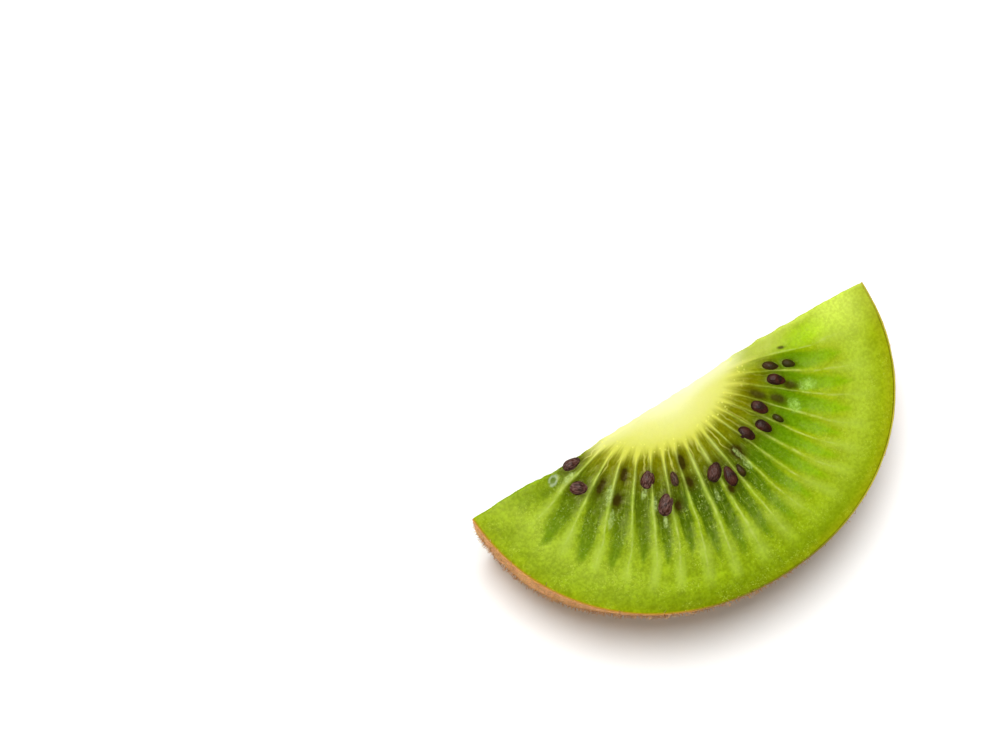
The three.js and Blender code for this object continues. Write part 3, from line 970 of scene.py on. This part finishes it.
class Finish:
    """A material's node tree, with short ways to its patterns. Patterns are in millimetres."""

    def __init__(self, name):
        self.material = bpy.data.materials.new(name)
        self.material.use_nodes = True
        self.tree = self.material.node_tree
        self.shader = self.tree.nodes["Principled BSDF"]
        place = add_node(self.tree, "ShaderNodeTexCoord").outputs["Object"]
        self.place = vector_maths(self.tree, "SCALE", {0: place, "Scale": 1 / MM})

    def attribute(self, name, output="Fac"):
        return add_node(self.tree, "ShaderNodeAttribute", attribute_name=name).outputs[output]

    def sideways(self):
        return add_node(self.tree, "ShaderNodeSeparateXYZ", {"Vector": self.place}).outputs["X"]

    def vector(self, x, y):
        return add_node(self.tree, "ShaderNodeCombineXYZ", {"X": x, "Y": y}).outputs["Vector"]

    def noise(self, vector, size, detail=2.0, warp=0.0):
        inputs = {"Vector": vector, "Scale": 1 / size, "Detail": detail, "Distortion": warp}
        return add_node(self.tree, "ShaderNodeTexNoise", inputs).outputs["Fac"]

    def cells(self, size):
        inputs = {"Vector": self.place, "Scale": 1 / size}
        return add_node(self.tree, "ShaderNodeTexVoronoi", inputs).outputs["Distance"]

    def chance(self, number):
        """A random value that belongs to a number."""
        inputs = {"W": number}
        return add_node(self.tree, "ShaderNodeTexWhiteNoise", inputs, noise_dimensions="1D").outputs["Value"]

    def maths(self, operation, first, second=0.0):
        inputs = {0: first, 1: second}
        return add_node(self.tree, "ShaderNodeMath", inputs, operation=operation).outputs["Value"]

    def plus(self, first, second):
        return self.maths("ADD", first, second)

    def minus(self, first, second):
        return self.maths("SUBTRACT", first, second)

    def times(self, first, second):
        return self.maths("MULTIPLY", first, second)

    def swing(self, pattern, reach):
        """A pattern from 0 to 1 turned into one about zero, that long from end to end."""
        return self.times(self.minus(pattern, 0.5), reach)

    def smooth(self, value, low, high, bottom=0.0, top=1.0):
        inputs = {"Value": value, "From Min": low, "From Max": high, "To Min": bottom, "To Max": top}
        node = add_node(self.tree, "ShaderNodeMapRange", inputs, interpolation_type="SMOOTHSTEP")
        return node.outputs["Result"]

    def between(self, share, first, last):
        """A number that goes from the first to the last as a share goes from 0 to 1."""
        return self.smooth(share, 0, 1, first, last)

    def mix(self, share, first, second):
        node = self.tree.nodes.new("ShaderNodeMix")
        node.data_type = "RGBA"
        for socket, value in zip((0, 6, 7), (share, first, second)):
            feed(self.tree, node.inputs[socket], value)
        return node.outputs[2]

    def shade(self, colour, factor):
        """Multiplies a colour by a number."""
        return vector_maths(self.tree, "SCALE", {0: colour, "Scale": factor})

    def bump(self, height, depth, strength=1.0, under=None):
        inputs = {"Height": height, "Distance": depth * MM, "Strength": strength}
        node = add_node(self.tree, "ShaderNodeBump", inputs)
        if under is not None:
            self.tree.links.new(under, node.inputs["Normal"])
        return node.outputs["Normal"]

    def finish(self, **sockets):
        for name, value in sockets.items():
            feed(self.tree, self.shader.inputs[name.replace("_", " ")], value)
        return self.material


def flesh_lanes(f, count):
    """The wandering lane number, how far across its pocket a place lies, and the pocket's chance number."""
    lane = f.plus(count, f.swing(f.noise(f.place, WALL_BEND_SIZE, 1), WALL_WANDER))
    off_middle = f.maths("ABSOLUTE", f.minus(f.maths("FRACT", lane), 0.5))
    return lane, f.times(off_middle, 2), f.chance(f.maths("FLOOR", lane))


def near_value(f, value, place, reach):
    """1 where a value stands at a place, falling to 0 at a distance of reach from it."""
    return f.smooth(f.maths("ABSOLUTE", f.minus(value, place)), reach, 0)


def lay_haze(f, tint, ring, from_edge, sideways, right):
    """A pale, patchy belt in the middle of the outer flesh."""
    haze = f.times(f.smooth(ring, 1.9, 2.3), f.smooth(ring, 2.8, 2.3))
    # The haze grows stronger towards the straight cut: painted light coming through the thin edge.
    haze = f.times(haze, f.smooth(from_edge, 20, 4, 0.3, 0.48))
    haze = f.times(haze, f.between(right, 0.85, 1.2))
    pale = f.mix(f.smooth(sideways, 6, 16), HAZE, HAZE_RIGHT)
    pale = f.mix(f.smooth(sideways, -8, -16), pale, HAZE_LEFT)
    clouds = f.noise(f.place, CLOUD_SIZE, 2)
    patchy = f.smooth(clouds, 0.3, 0.7, f.between(right, 0.6, 0.8), f.between(right, 1.3, 1.1))
    return f.mix(f.times(haze, patchy), tint, pale)


def lay_rim(f, tint, ring, sideways, right):
    """The flesh next to the skin, and the thin line where they meet."""
    rim = f.mix(f.smooth(sideways, -10, -17), OUTER_RIM, OUTER_RIM_LEFT)
    rim = f.mix(right, rim, OUTER_RIM_RIGHT)
    tint = f.mix(f.smooth(ring, 2.7, 2.95, 0, 0.8), tint, rim)
    line = f.mix(f.smooth(sideways, -3, -12), OUTER_LINE, OUTER_LINE_LEFT)
    return f.mix(f.smooth(ring, 2.945, 2.97), tint, line)


def lay_glow(f, tint, ring, from_edge, sideways):
    """Flesh that light comes through: the first lane by the straight cut, its edge and its right tip."""
    lane = f.times(near_value(f, from_edge, 2.0, 2.3), near_value(f, sideways, 17.8, 7))
    tint = f.mix(lane, tint, FIRST_LANE)
    edge = f.times(f.smooth(from_edge, 1.2, 0.1), f.smooth(sideways, 10, 15, 0, 0.6))
    tip = f.times(f.smooth(from_edge, 6.5, 0.5), f.smooth(sideways, 16.5, 21, 0, 0.75))
    tip = f.times(tip, f.smooth(ring, 2.9, 2.5, 0.4, 1))
    return f.mix(f.maths("MAXIMUM", edge, tip), tint, TIP_GLOW)


def lay_grain(f, tint, sideways, right, grain, streaks):
    """Blotches, streaks, grain and bright dots of the outer flesh, calmer at the right; the bright dots are
    painted sparkles of light.
    """
    blotches = f.noise(f.place, BLOTCH_SIZE, 2)
    darkest, palest = f.between(right, 0.91, 0.97), f.between(right, 1.08, 1.03)
    tint = f.shade(tint, f.smooth(blotches, 0.3, 0.7, darkest, palest))
    tint = f.shade(tint, f.smooth(streaks, 0.3, 0.7, 0.95, 1.05))
    darkest, palest = f.between(right, 0.84, 0.88), f.between(right, 1.17, 1.12)
    tint = f.shade(tint, f.smooth(grain, 0.25, 0.75, darkest, palest))
    # Painted sparkles: tiny highlights as bright dots, stronger at the left.
    sparkles = f.smooth(f.noise(f.place, SPARKLE_SIZE, 1), 0.56, 0.72)
    sparkles = f.times(sparkles, f.smooth(f.noise(f.place, SPARKLE_PATCH_SIZE), 0.42, 0.62))
    return f.mix(f.times(sparkles, f.smooth(sideways, -8, 8, 0.4, 0.3)), tint, SPARKLE)


def outer_tint(f, ring, from_edge, sideways, grain, streaks):
    """The outer flesh: deep green far from the straight cut, yellower near it and at the right; the paler
    tone near the cut is painted light coming through the thin edge.
    """
    right = f.smooth(sideways, -4, 12)
    # Paler towards the straight cut: painted light.
    tint = f.mix(f.smooth(from_edge, 23, 13), OUTER_DEEP, f.mix(right, OUTER_LEFT, OUTER_RIGHT))
    tint = lay_haze(f, tint, ring, from_edge, sideways, right)
    tint = lay_rim(f, tint, ring, sideways, right)
    tint = lay_glow(f, tint, ring, from_edge, sideways)
    return lay_grain(f, tint, sideways, right, grain, streaks)


def pocket_tint(f, ring, sideways, grain, fibres):
    """The dark wet flesh of the pockets, olive by the core and greener towards their tips."""
    right = f.smooth(sideways, 0, 11)
    deep = f.mix(right, f.mix(f.smooth(sideways, -4, -12), POCKET_MIDDLE, POCKET_LEFT), POCKET_RIGHT)
    end = f.mix(right, POCKET_END_LEFT, POCKET_END_RIGHT)
    tint = f.mix(f.smooth(ring, 1.45, f.between(right, 2.25, 2.05)), deep, end)
    tint = f.mix(f.smooth(ring, 1.5, 1.1), tint, POCKET_INNER)
    # Painted glints: bright dots that stand for highlights on wet granules, in patches and mostly at the
    # left.
    glints = f.smooth(f.noise(f.place, GLINT_SIZE, 1), 0.58, 0.72)
    wet = f.times(f.smooth(f.noise(f.place, WET_GLINT_PATCH_SIZE), 0.42, 0.58), f.between(right, 0.65, 0.12))
    wet = f.times(wet, f.smooth(ring, 1.15, 1.45))
    tint = f.mix(f.times(glints, wet), tint, POCKET_GLINT)
    tint = f.mix(f.smooth(fibres, 0.52, 0.72, 0, f.between(right, 0.5, 0.12)), tint, POCKET_FIBRE)
    return f.shade(tint, f.smooth(grain, 0.25, 0.75, 0.86, 1.12))


def pocket_tips(f, count, chance):
    """The growth ring where each pocket ends: farthest out at the left, nearest left of the middle."""
    tips = f.plus(f.smooth(count, 15.2, 16.8, 0, 0.28), f.times(near_value(f, count, 9.5, 3.5), 0.1))
    tips = f.plus(tips, f.times(near_value(f, count, 13, 2.5), -0.08))
    tips = f.plus(tips, f.smooth(count, 8, 5, 0, 0.08))
    return f.plus(tips, f.between(chance, 2.03, 2.14))


def pocket_mask(f, ring, across, tip, sideways, streaks):
    """Dark spearheads, widest past the seeds and pointed at their outer ends."""
    share = add_node(f.tree, "ShaderNodeMapRange", {"Value": ring, "From Min": tip, "From Max": 1.4})
    spread = f.maths("POWER", share.outputs["Result"], 0.65)
    wisps = f.plus(f.noise(f.place, WISP_SIZE, 2), streaks)
    ragged = f.plus(across, f.times(f.minus(wisps, 1), 0.4))
    inside = f.minus(f.times(spread, f.smooth(sideways, 0, 9, 1.1, 1.3)), ragged)
    softness = f.smooth(sideways, -4, 8, 0.42, 0.56)
    return f.times(f.smooth(inside, -0.15, softness), f.smooth(ring, f.plus(tip, 0.2), tip))


def ray_mask(f, ring, gap, lane, sideways):
    """Soft pale rays that carry the walls on into the outer flesh, stronger at the left."""
    along = f.noise(f.vector(f.times(f.maths("ROUND", lane), 5.1), f.times(ring, 1.5)), 1)
    ray = f.times(f.smooth(gap, 1.0, 0.1), f.smooth(along, 0.35, 0.6, 0.1, 0.6))
    ray = f.times(ray, f.smooth(sideways, -2, 8, 1, 0.55))
    return f.times(ray, f.times(f.smooth(ring, 1.75, 2.0), f.smooth(ring, 2.65, 2.15)))


def wall_mask(f, ring, lane, gap):
    """Pale lines along the walls, that swell and fade along their way."""
    wall = f.maths("ROUND", lane)
    along = f.noise(f.vector(f.times(wall, 7.3), f.times(ring, 3)), 1)
    swell = f.times(f.smooth(along, 0.35, 0.7, 0.3, 0.55), f.smooth(ring, 0.9, 1.7, 0.65, 1))
    thin = f.smooth(f.maths("DIVIDE", gap, swell), 1, 0)
    thin = f.times(thin, f.smooth(along, 0.3, 0.65, 0.4, 0.95))
    worn = f.smooth(f.noise(f.place, WALL_WEAR_SIZE, 3), 0.35, 0.65, 0.15, 1)
    thread = f.times(f.smooth(f.maths("DIVIDE", gap, swell), 0.5, 0), worn)
    return f.times(thin, f.smooth(ring, 2.2, 1.6)), f.times(thread, f.smooth(ring, 2.4, 1.7))


def thread_mask(f, ring, lane, width):
    """Thin bright threads from the core into the pockets, up to three in each."""
    thread = f.plus(f.times(lane, 3), f.swing(f.noise(f.place, THREAD_BEND_SIZE, 1), 1.4))
    aside = f.maths("ABSOLUTE", f.minus(f.maths("FRACT", thread), 0.5))
    aside = f.times(aside, f.times(width, 0.333))
    reach = f.smooth(f.chance(f.maths("FLOOR", thread)), 0.2, 1, 1.0, 1.45)
    ends = f.times(f.smooth(ring, reach, f.minus(reach, 0.15)), f.smooth(ring, 0.9, 1.05))
    return f.times(f.smooth(aside, 0.12, 0.02), ends)


def open_ends(f, from_edge, sideways):
    """Where the straight cut lets so much light into the first pockets that they aren't dark."""
    right = f.times(f.smooth(from_edge, 3.5, 1), f.smooth(sideways, 6, 10))
    left = f.times(f.smooth(from_edge, 2.4, 0.6), f.smooth(sideways, -14, -17.5, 0, 0.75))
    return f.maths("MAXIMUM", right, left)


def lay_walls(f, tint, ring, lane, gap, sideways):
    """The pale walls between the pockets, each with a brighter thread along its middle."""
    wall = f.mix(f.smooth(sideways, -2, 10), WALL, WALL_RIGHT)
    wall = f.mix(f.smooth(ring, 1.5, 1.2), wall, WALL_INNER)
    faint = f.times(f.smooth(ring, 1.45, 1.15, 0, 0.8), f.smooth(sideways, 2, 8))
    soft, thread = (f.times(mask, f.minus(1, faint)) for mask in wall_mask(f, ring, lane, gap))
    tint = f.mix(f.times(soft, f.smooth(sideways, -2, 9, 0.7, 0.22)), tint, wall)
    return f.mix(f.times(thread, f.smooth(sideways, -2, 9, 0.5, 0.42)), tint, WALL_THREAD)


def flesh_tint(f, ring, from_edge):
    """The flesh's colour but for its seeds and jelly, with the grain and streaks that its surface shares."""
    count, width = f.attribute("pocket_count"), f.attribute("pocket_width")
    sideways = f.sideways()
    grain = f.noise(f.place, GRAIN_SIZE, 3)
    lane, across, chance = flesh_lanes(f, count)
    streaks = f.noise(f.vector(f.times(lane, 4.2), f.times(ring, 2.1)), 1, 2)
    fibres = f.noise(f.vector(f.times(lane, 11), f.times(ring, 9)), 1, 3)
    tint = outer_tint(f, ring, from_edge, sideways, grain, streaks)
    gap = f.times(f.times(f.minus(1, across), 0.5), width)
    tint = f.mix(ray_mask(f, ring, gap, lane, sideways), tint, RAY)
    pocket = pocket_mask(f, ring, across, pocket_tips(f, count, chance), sideways, streaks)
    dark = f.times(pocket, f.minus(1, open_ends(f, from_edge, sideways)))
    tint = f.mix(dark, tint, pocket_tint(f, ring, sideways, grain, fibres))
    strands = f.times(f.smooth(streaks, 0.55, 0.68), f.smooth(ring, 1.55, 1.05, 0, 0.4))
    tint = f.mix(strands, tint, STRAND)
    threads = f.times(thread_mask(f, ring, lane, width), f.smooth(sideways, 0, 8, 0.7, 0.15))
    tint = f.mix(threads, tint, THREAD)
    tint = lay_walls(f, tint, ring, lane, gap, sideways)
    # Painted glow: a pale strip along the straight cut at the right, where light comes through the thin
    # edge.
    glow_strip = f.times(f.smooth(from_edge, 2.6, 0.8, 0, 0.7), f.smooth(sideways, 7, 9))
    tint = f.mix(f.times(glow_strip, f.smooth(sideways, 16.5, 13)), tint, CUT_STRIP_GLOW)
    return core_tint(f, tint, from_edge, across, streaks), grain, streaks


def core_tint(f, tint, from_edge, across, streaks):
    """Lays the pale core over the flesh: it runs out in tongues along the walls, with pale dots between them
    that carry painted glints, and it is paler by the straight cut with a painted glow.
    """
    ring = f.attribute("core_ring")
    right = f.smooth(f.sideways(), -2, 7)
    tongues = f.times(f.maths("POWER", across, 3), f.between(right, 0.24, 0.14))
    tongues = f.plus(tongues, f.smooth(right, 1, 0, 0, 0.11))
    frayed = f.plus(ring, f.swing(streaks, f.between(right, 0.35, 0.25)))
    core = f.mix(f.smooth(ring, 0.1, 0.65), CORE_BRIGHT, CORE_PALE)
    core = f.mix(f.smooth(ring, 0.55, 1.05), core, CORE_EDGE)
    # Painted glow: the core turns paler towards the straight cut, where light comes through the thin edge.
    glow_by_cut = f.times(f.smooth(from_edge, 1.7, 0.1), f.smooth(right, 0, 0.5, 0.32, 0.6))
    core = f.mix(glow_by_cut, core, CORE_GLOW_BY_CUT)
    inside = f.smooth(f.minus(frayed, tongues), f.between(right, 1.1, 1.17), 0.75)
    tint = f.mix(inside, tint, core)
    # Bright dots at the core's edge: pale granules with painted glints on them.
    bead_glints = f.smooth(f.cells(BEAD_GLINT_SIZE), 0.28, 0.15)
    belt = f.times(f.smooth(ring, 0.78, 0.88), f.smooth(ring, 1.14, 1.0, 0, 0.6))
    return f.mix(f.times(bead_glints, belt), tint, BEAD_GLINT)


def jelly_mask(f):
    """Torn patches of jelly: shards that thin out towards the patch's edge."""
    frayed = f.plus(f.attribute("jelly_closeness"), f.times(f.noise(f.place, JELLY_FRAY_SIZE, 2), 1.1))
    shards = f.noise(f.place, SHARD_SIZE, 1, 0.6)
    return f.times(f.smooth(frayed, 1.75, 1.0), f.smooth(shards, 0.38, 0.62, 0.25, 0.8))


def lay_seeds(f, tint, patches, right):
    """Shadows round the seeds, the film by them, and the seeds that only show through."""
    around = f.attribute("seed_closeness")
    sunken = f.attribute("sunken_seed_closeness")
    shadow = f.smooth(f.maths("MINIMUM", around, sunken), 2.4, 0.9, 0, 0.6)
    tint = f.mix(shadow, tint, SEED_SHADOW)
    film = f.times(f.smooth(around, 1.6, 1.1), f.smooth(patches, 0.5, 0.68, 0, 0.6))
    tint = f.mix(film, tint, SEED_FILM)
    sunken = f.smooth(f.plus(sunken, f.swing(patches, 0.9)), f.between(right, 1.2, 1.4), 0.6)
    return f.mix(f.times(sunken, f.between(right, 0.88, 0.7)), tint, SUNKEN_SEED)


def lay_jelly(f, tint, patches, right):
    """Torn jelly, and the empty seed socket with its pale broken rim and painted shade in its hollow."""
    tint = f.mix(jelly_mask(f), tint, f.mix(right, JELLY_TINT, JELLY_RIGHT))
    socket = f.plus(f.attribute("socket_closeness"), f.swing(patches, 0.5))
    # Painted shade: the socket's hollow is not modelled, so its inside is painted darker.
    tint = f.mix(f.smooth(socket, 0.9, 0.5, 0, 0.8), tint, SOCKET_HOLLOW_SHADE)
    broken = f.times(near_value(f, socket, 0.85, 0.4), f.smooth(patches, 0.4, 0.6, 0.1, 0.75))
    return f.mix(broken, tint, SOCKET_RIM)


def flesh_finish():
    f = Finish("wet_kiwi_flesh")
    tint, grain, streaks = flesh_tint(f, f.attribute("ring"), f.attribute("from_edge"))
    patches = f.noise(f.place, FILM_PATCH_SIZE, 2)
    right = f.smooth(f.sideways(), 2, 9)
    tint = lay_seeds(f, tint, patches, right)
    tint = lay_jelly(f, tint, patches, right)
    fine = f.bump(f.noise(f.place, FINE_BUMP_SIZE, 2), 0.05, 0.35)
    return f.finish(
        Base_Color=f.shade(tint, FLESH_SHADE),
        Roughness=f.smooth(grain, 0.3, 0.7, 0.2, 0.34),
        Normal=f.bump(streaks, 0.06, 0.3, fine),
        IOR=1.36,
        Specular_IOR_Level=0.15,
        Specular_Tint=(1, 1, 0.4, 1),
        Subsurface_Weight=0.3,
        Subsurface_Radius=(0.7, 1.0, 0.15),
        Subsurface_Scale=0.0007,
    )


def seed_finish():
    f = Finish("pitted_black_seed")
    pits = f.cells(SEED_PIT_SPACING)
    drawn_out = vector_maths(f.tree, "MULTIPLY", {0: f.attribute("own_place", "Vector"), 1: WRINKLE_STRETCH})
    wrinkles = f.noise(vector_maths(f.tree, "ADD", {0: drawn_out, 1: f.place}), 1, 3)
    base = f.mix(f.smooth(f.noise(f.place, SEED_PATCH_SIZE), 0.35, 0.65), SEED_DARK, SEED_RED)
    # Painted sheen: seeds turn lighter along their wrinkles, mostly at the left, a painted reflection on
    # their wet coats.
    left = f.smooth(f.sideways(), 3, -5, 0.12, 1)
    base = f.mix(f.times(left, f.smooth(wrinkles, 0.35, 0.7)), base, SEED_SHEEN)
    base = f.shade(base, f.smooth(pits, 0.1, 0.55, 1.15, 0.85))
    base = f.mix(f.attribute("film"), base, SEED_GREEN)
    normal = f.bump(wrinkles, 0.08, 0.6, f.bump(pits, 0.04, 0.8))
    roughness = f.smooth(f.noise(f.place, SEED_WET_SIZE), 0.35, 0.65, 0.3, 0.5)
    return f.finish(Base_Color=base, Roughness=roughness, Normal=normal, Specular_IOR_Level=0.15)


def skin_finish():
    f = Finish("fuzzy_brown_skin")
    bark = f.attribute("bark")
    mottle = f.noise(f.place, MOTTLE_SIZE, 4)
    clouds = f.noise(f.place, SKIN_CLOUD_SIZE, 3)
    ragged = f.plus(f.cells(FLECK_SIZE), f.times(mottle, 0.5))
    flecks = f.smooth(ragged, 0.52, 0.34)
    base = f.mix(f.smooth(clouds, 0.4, 0.6), SKIN_TAN, SKIN_PINK)
    base = f.mix(f.smooth(mottle, 0.38, 0.66), base, SKIN_OLIVE)
    base = f.mix(f.times(flecks, 0.7), base, SKIN_FLECK)
    sideways = f.sideways()
    rim = f.mix(f.smooth(sideways, -7, -13), SKIN_CUT, SKIN_CUT_LEFT)
    rim = f.mix(f.smooth(sideways, 4, 14), rim, SKIN_CUT_RIGHT)
    base = f.mix(f.smooth(bark, 1, 0.85), base, rim)
    height = f.plus(mottle, f.times(flecks, 0.5))
    return f.finish(
        Base_Color=base,
        Roughness=0.8,
        Normal=f.bump(height, 0.12, 0.7),
        Subsurface_Weight=0.1,
        Subsurface_Scale=0.0005,
    )


def hair_finish(name, dark, pale):
    f = Finish(name)
    base = f.mix(f.smooth(f.noise(f.place, HAIR_PATCH_SIZE), 0.35, 0.65), dark, pale)
    return f.finish(Base_Color=base, Roughness=0.5)


def floor_finish():
    f = Finish("white_floor")
    base = f.mix(f.smooth(f.noise(f.place, FLOOR_PATCH_SIZE), 0.3, 0.7), FLOOR_WHITE, FLOOR_SHADE)
    return f.finish(Base_Color=base, Roughness=0.6)


# Stage, lights and camera


def make_floor(material):
    half = FLOOR_REACH * MM
    drop = -FLOOR_GAP * MM
    points = np.array([(-half, -half, drop), (half, -half, drop), (half, half, drop), (-half, half, drop)])
    floor = mesh_piece("floor", points, [[0, 1, 2, 3]], material, smooth=False)


def aimed_camera():
    """A camera that sees the straight cut's middle at its pixel, and the cut at its slope in the picture."""
    middle = frame_point(0, 0, THICKNESS)
    ends = [frame_point(x, 0, THICKNESS) for x in (-HALF_WIDTH, HALF_WIDTH)]
    flat = math.sin(VIEW_TILT)
    towards = Vector((flat * math.cos(VIEW_SIDE), flat * math.sin(VIEW_SIDE), math.cos(VIEW_TILT)))
    focal = LENS / SENSOR * PICTURE_WIDTH
    seen = Vector((MIDDLE_PIXEL[0] - PICTURE_WIDTH / 2, PICTURE_HEIGHT / 2 - MIDDLE_PIXEL[1], -focal))
    turn = seen.normalized().rotation_difference(-towards)
    place = middle + towards * VIEW_DISTANCE * MM
    for _ in range(CAMERA_STEPS):
        left, right = (turn.inverted() @ (end - place) for end in ends)
        rise = right.y / -right.z - left.y / -left.z
        run = right.x / -right.z - left.x / -left.z
        turn = Quaternion(towards, math.atan2(rise, run) - CUT_SLOPE) @ turn
    camera = new_object("camera", bpy.data.cameras.new("camera"))
    camera.data.lens = LENS
    camera.data.sensor_width = SENSOR
    camera.data.clip_start = NEAREST_SEEN
    camera.rotation_mode = "QUATERNION"
    camera.rotation_quaternion = turn
    camera.location = place
    bpy.context.scene.camera = camera
    return turn


def make_light(turn, name, towards, distance, size, power, in_reflections):
    """A soft lamp placed by the picture's own right, up and towards-the-viewer directions."""
    direction = (turn @ Vector(towards)).normalized()
    lamp = bpy.data.lights.new(name, "AREA")
    lamp.shape = "DISK"
    lamp.size = size
    lamp.energy = power
    holder = new_object(name, lamp)
    holder.visible_glossy = in_reflections
    holder.location = frame_point(0, HALF_DEPTH / 2, THICKNESS / 2) + direction * distance
    holder.rotation_mode = "QUATERNION"
    holder.rotation_quaternion = (-direction).to_track_quat("-Z", "Y")


def make_world():
    world = bpy.data.worlds.new("studio")
    world.use_nodes = True
    background = world.node_tree.nodes["Background"]
    background.inputs["Color"].default_value = WORLD_TINT
    background.inputs["Strength"].default_value = WORLD_LIGHT
    bpy.context.scene.world = world


def main():
    numbers = random_numbers(RANDOM_SEED)
    seeds = upper_seeds() + lower_seeds(numbers) + cut_seeds(numbers)
    flesh = make_flesh(seeds, flesh_finish())
    seed_piece = sow("seeds", seeds, seed_finish())
    pit_seeds(seed_piece)
    skin = make_skin(skin_finish())
    hairs = grow_hairs("hairs", HAIRS, hair_finish("loose_hair", HAIR_DARK, HAIR_GOLD))
    fuzz = grow_hairs("fuzz", FUZZ, hair_finish("short_fuzz", FUZZ_DARK, FUZZ_PALE))
    pieces = ((flesh, "flesh"), (seed_piece, "seed"), (skin, "skin"), (hairs, "skin"), (fuzz, "skin"))
    for piece, slot in pieces:
        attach(piece, "root")
        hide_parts(NODE)
    make_floor(floor_finish())
    turn = aimed_camera()
    for light in LIGHTS:
        make_light(turn, *light)
    make_world()
    bpy.context.scene.view_settings.view_transform = "Standard"


main()
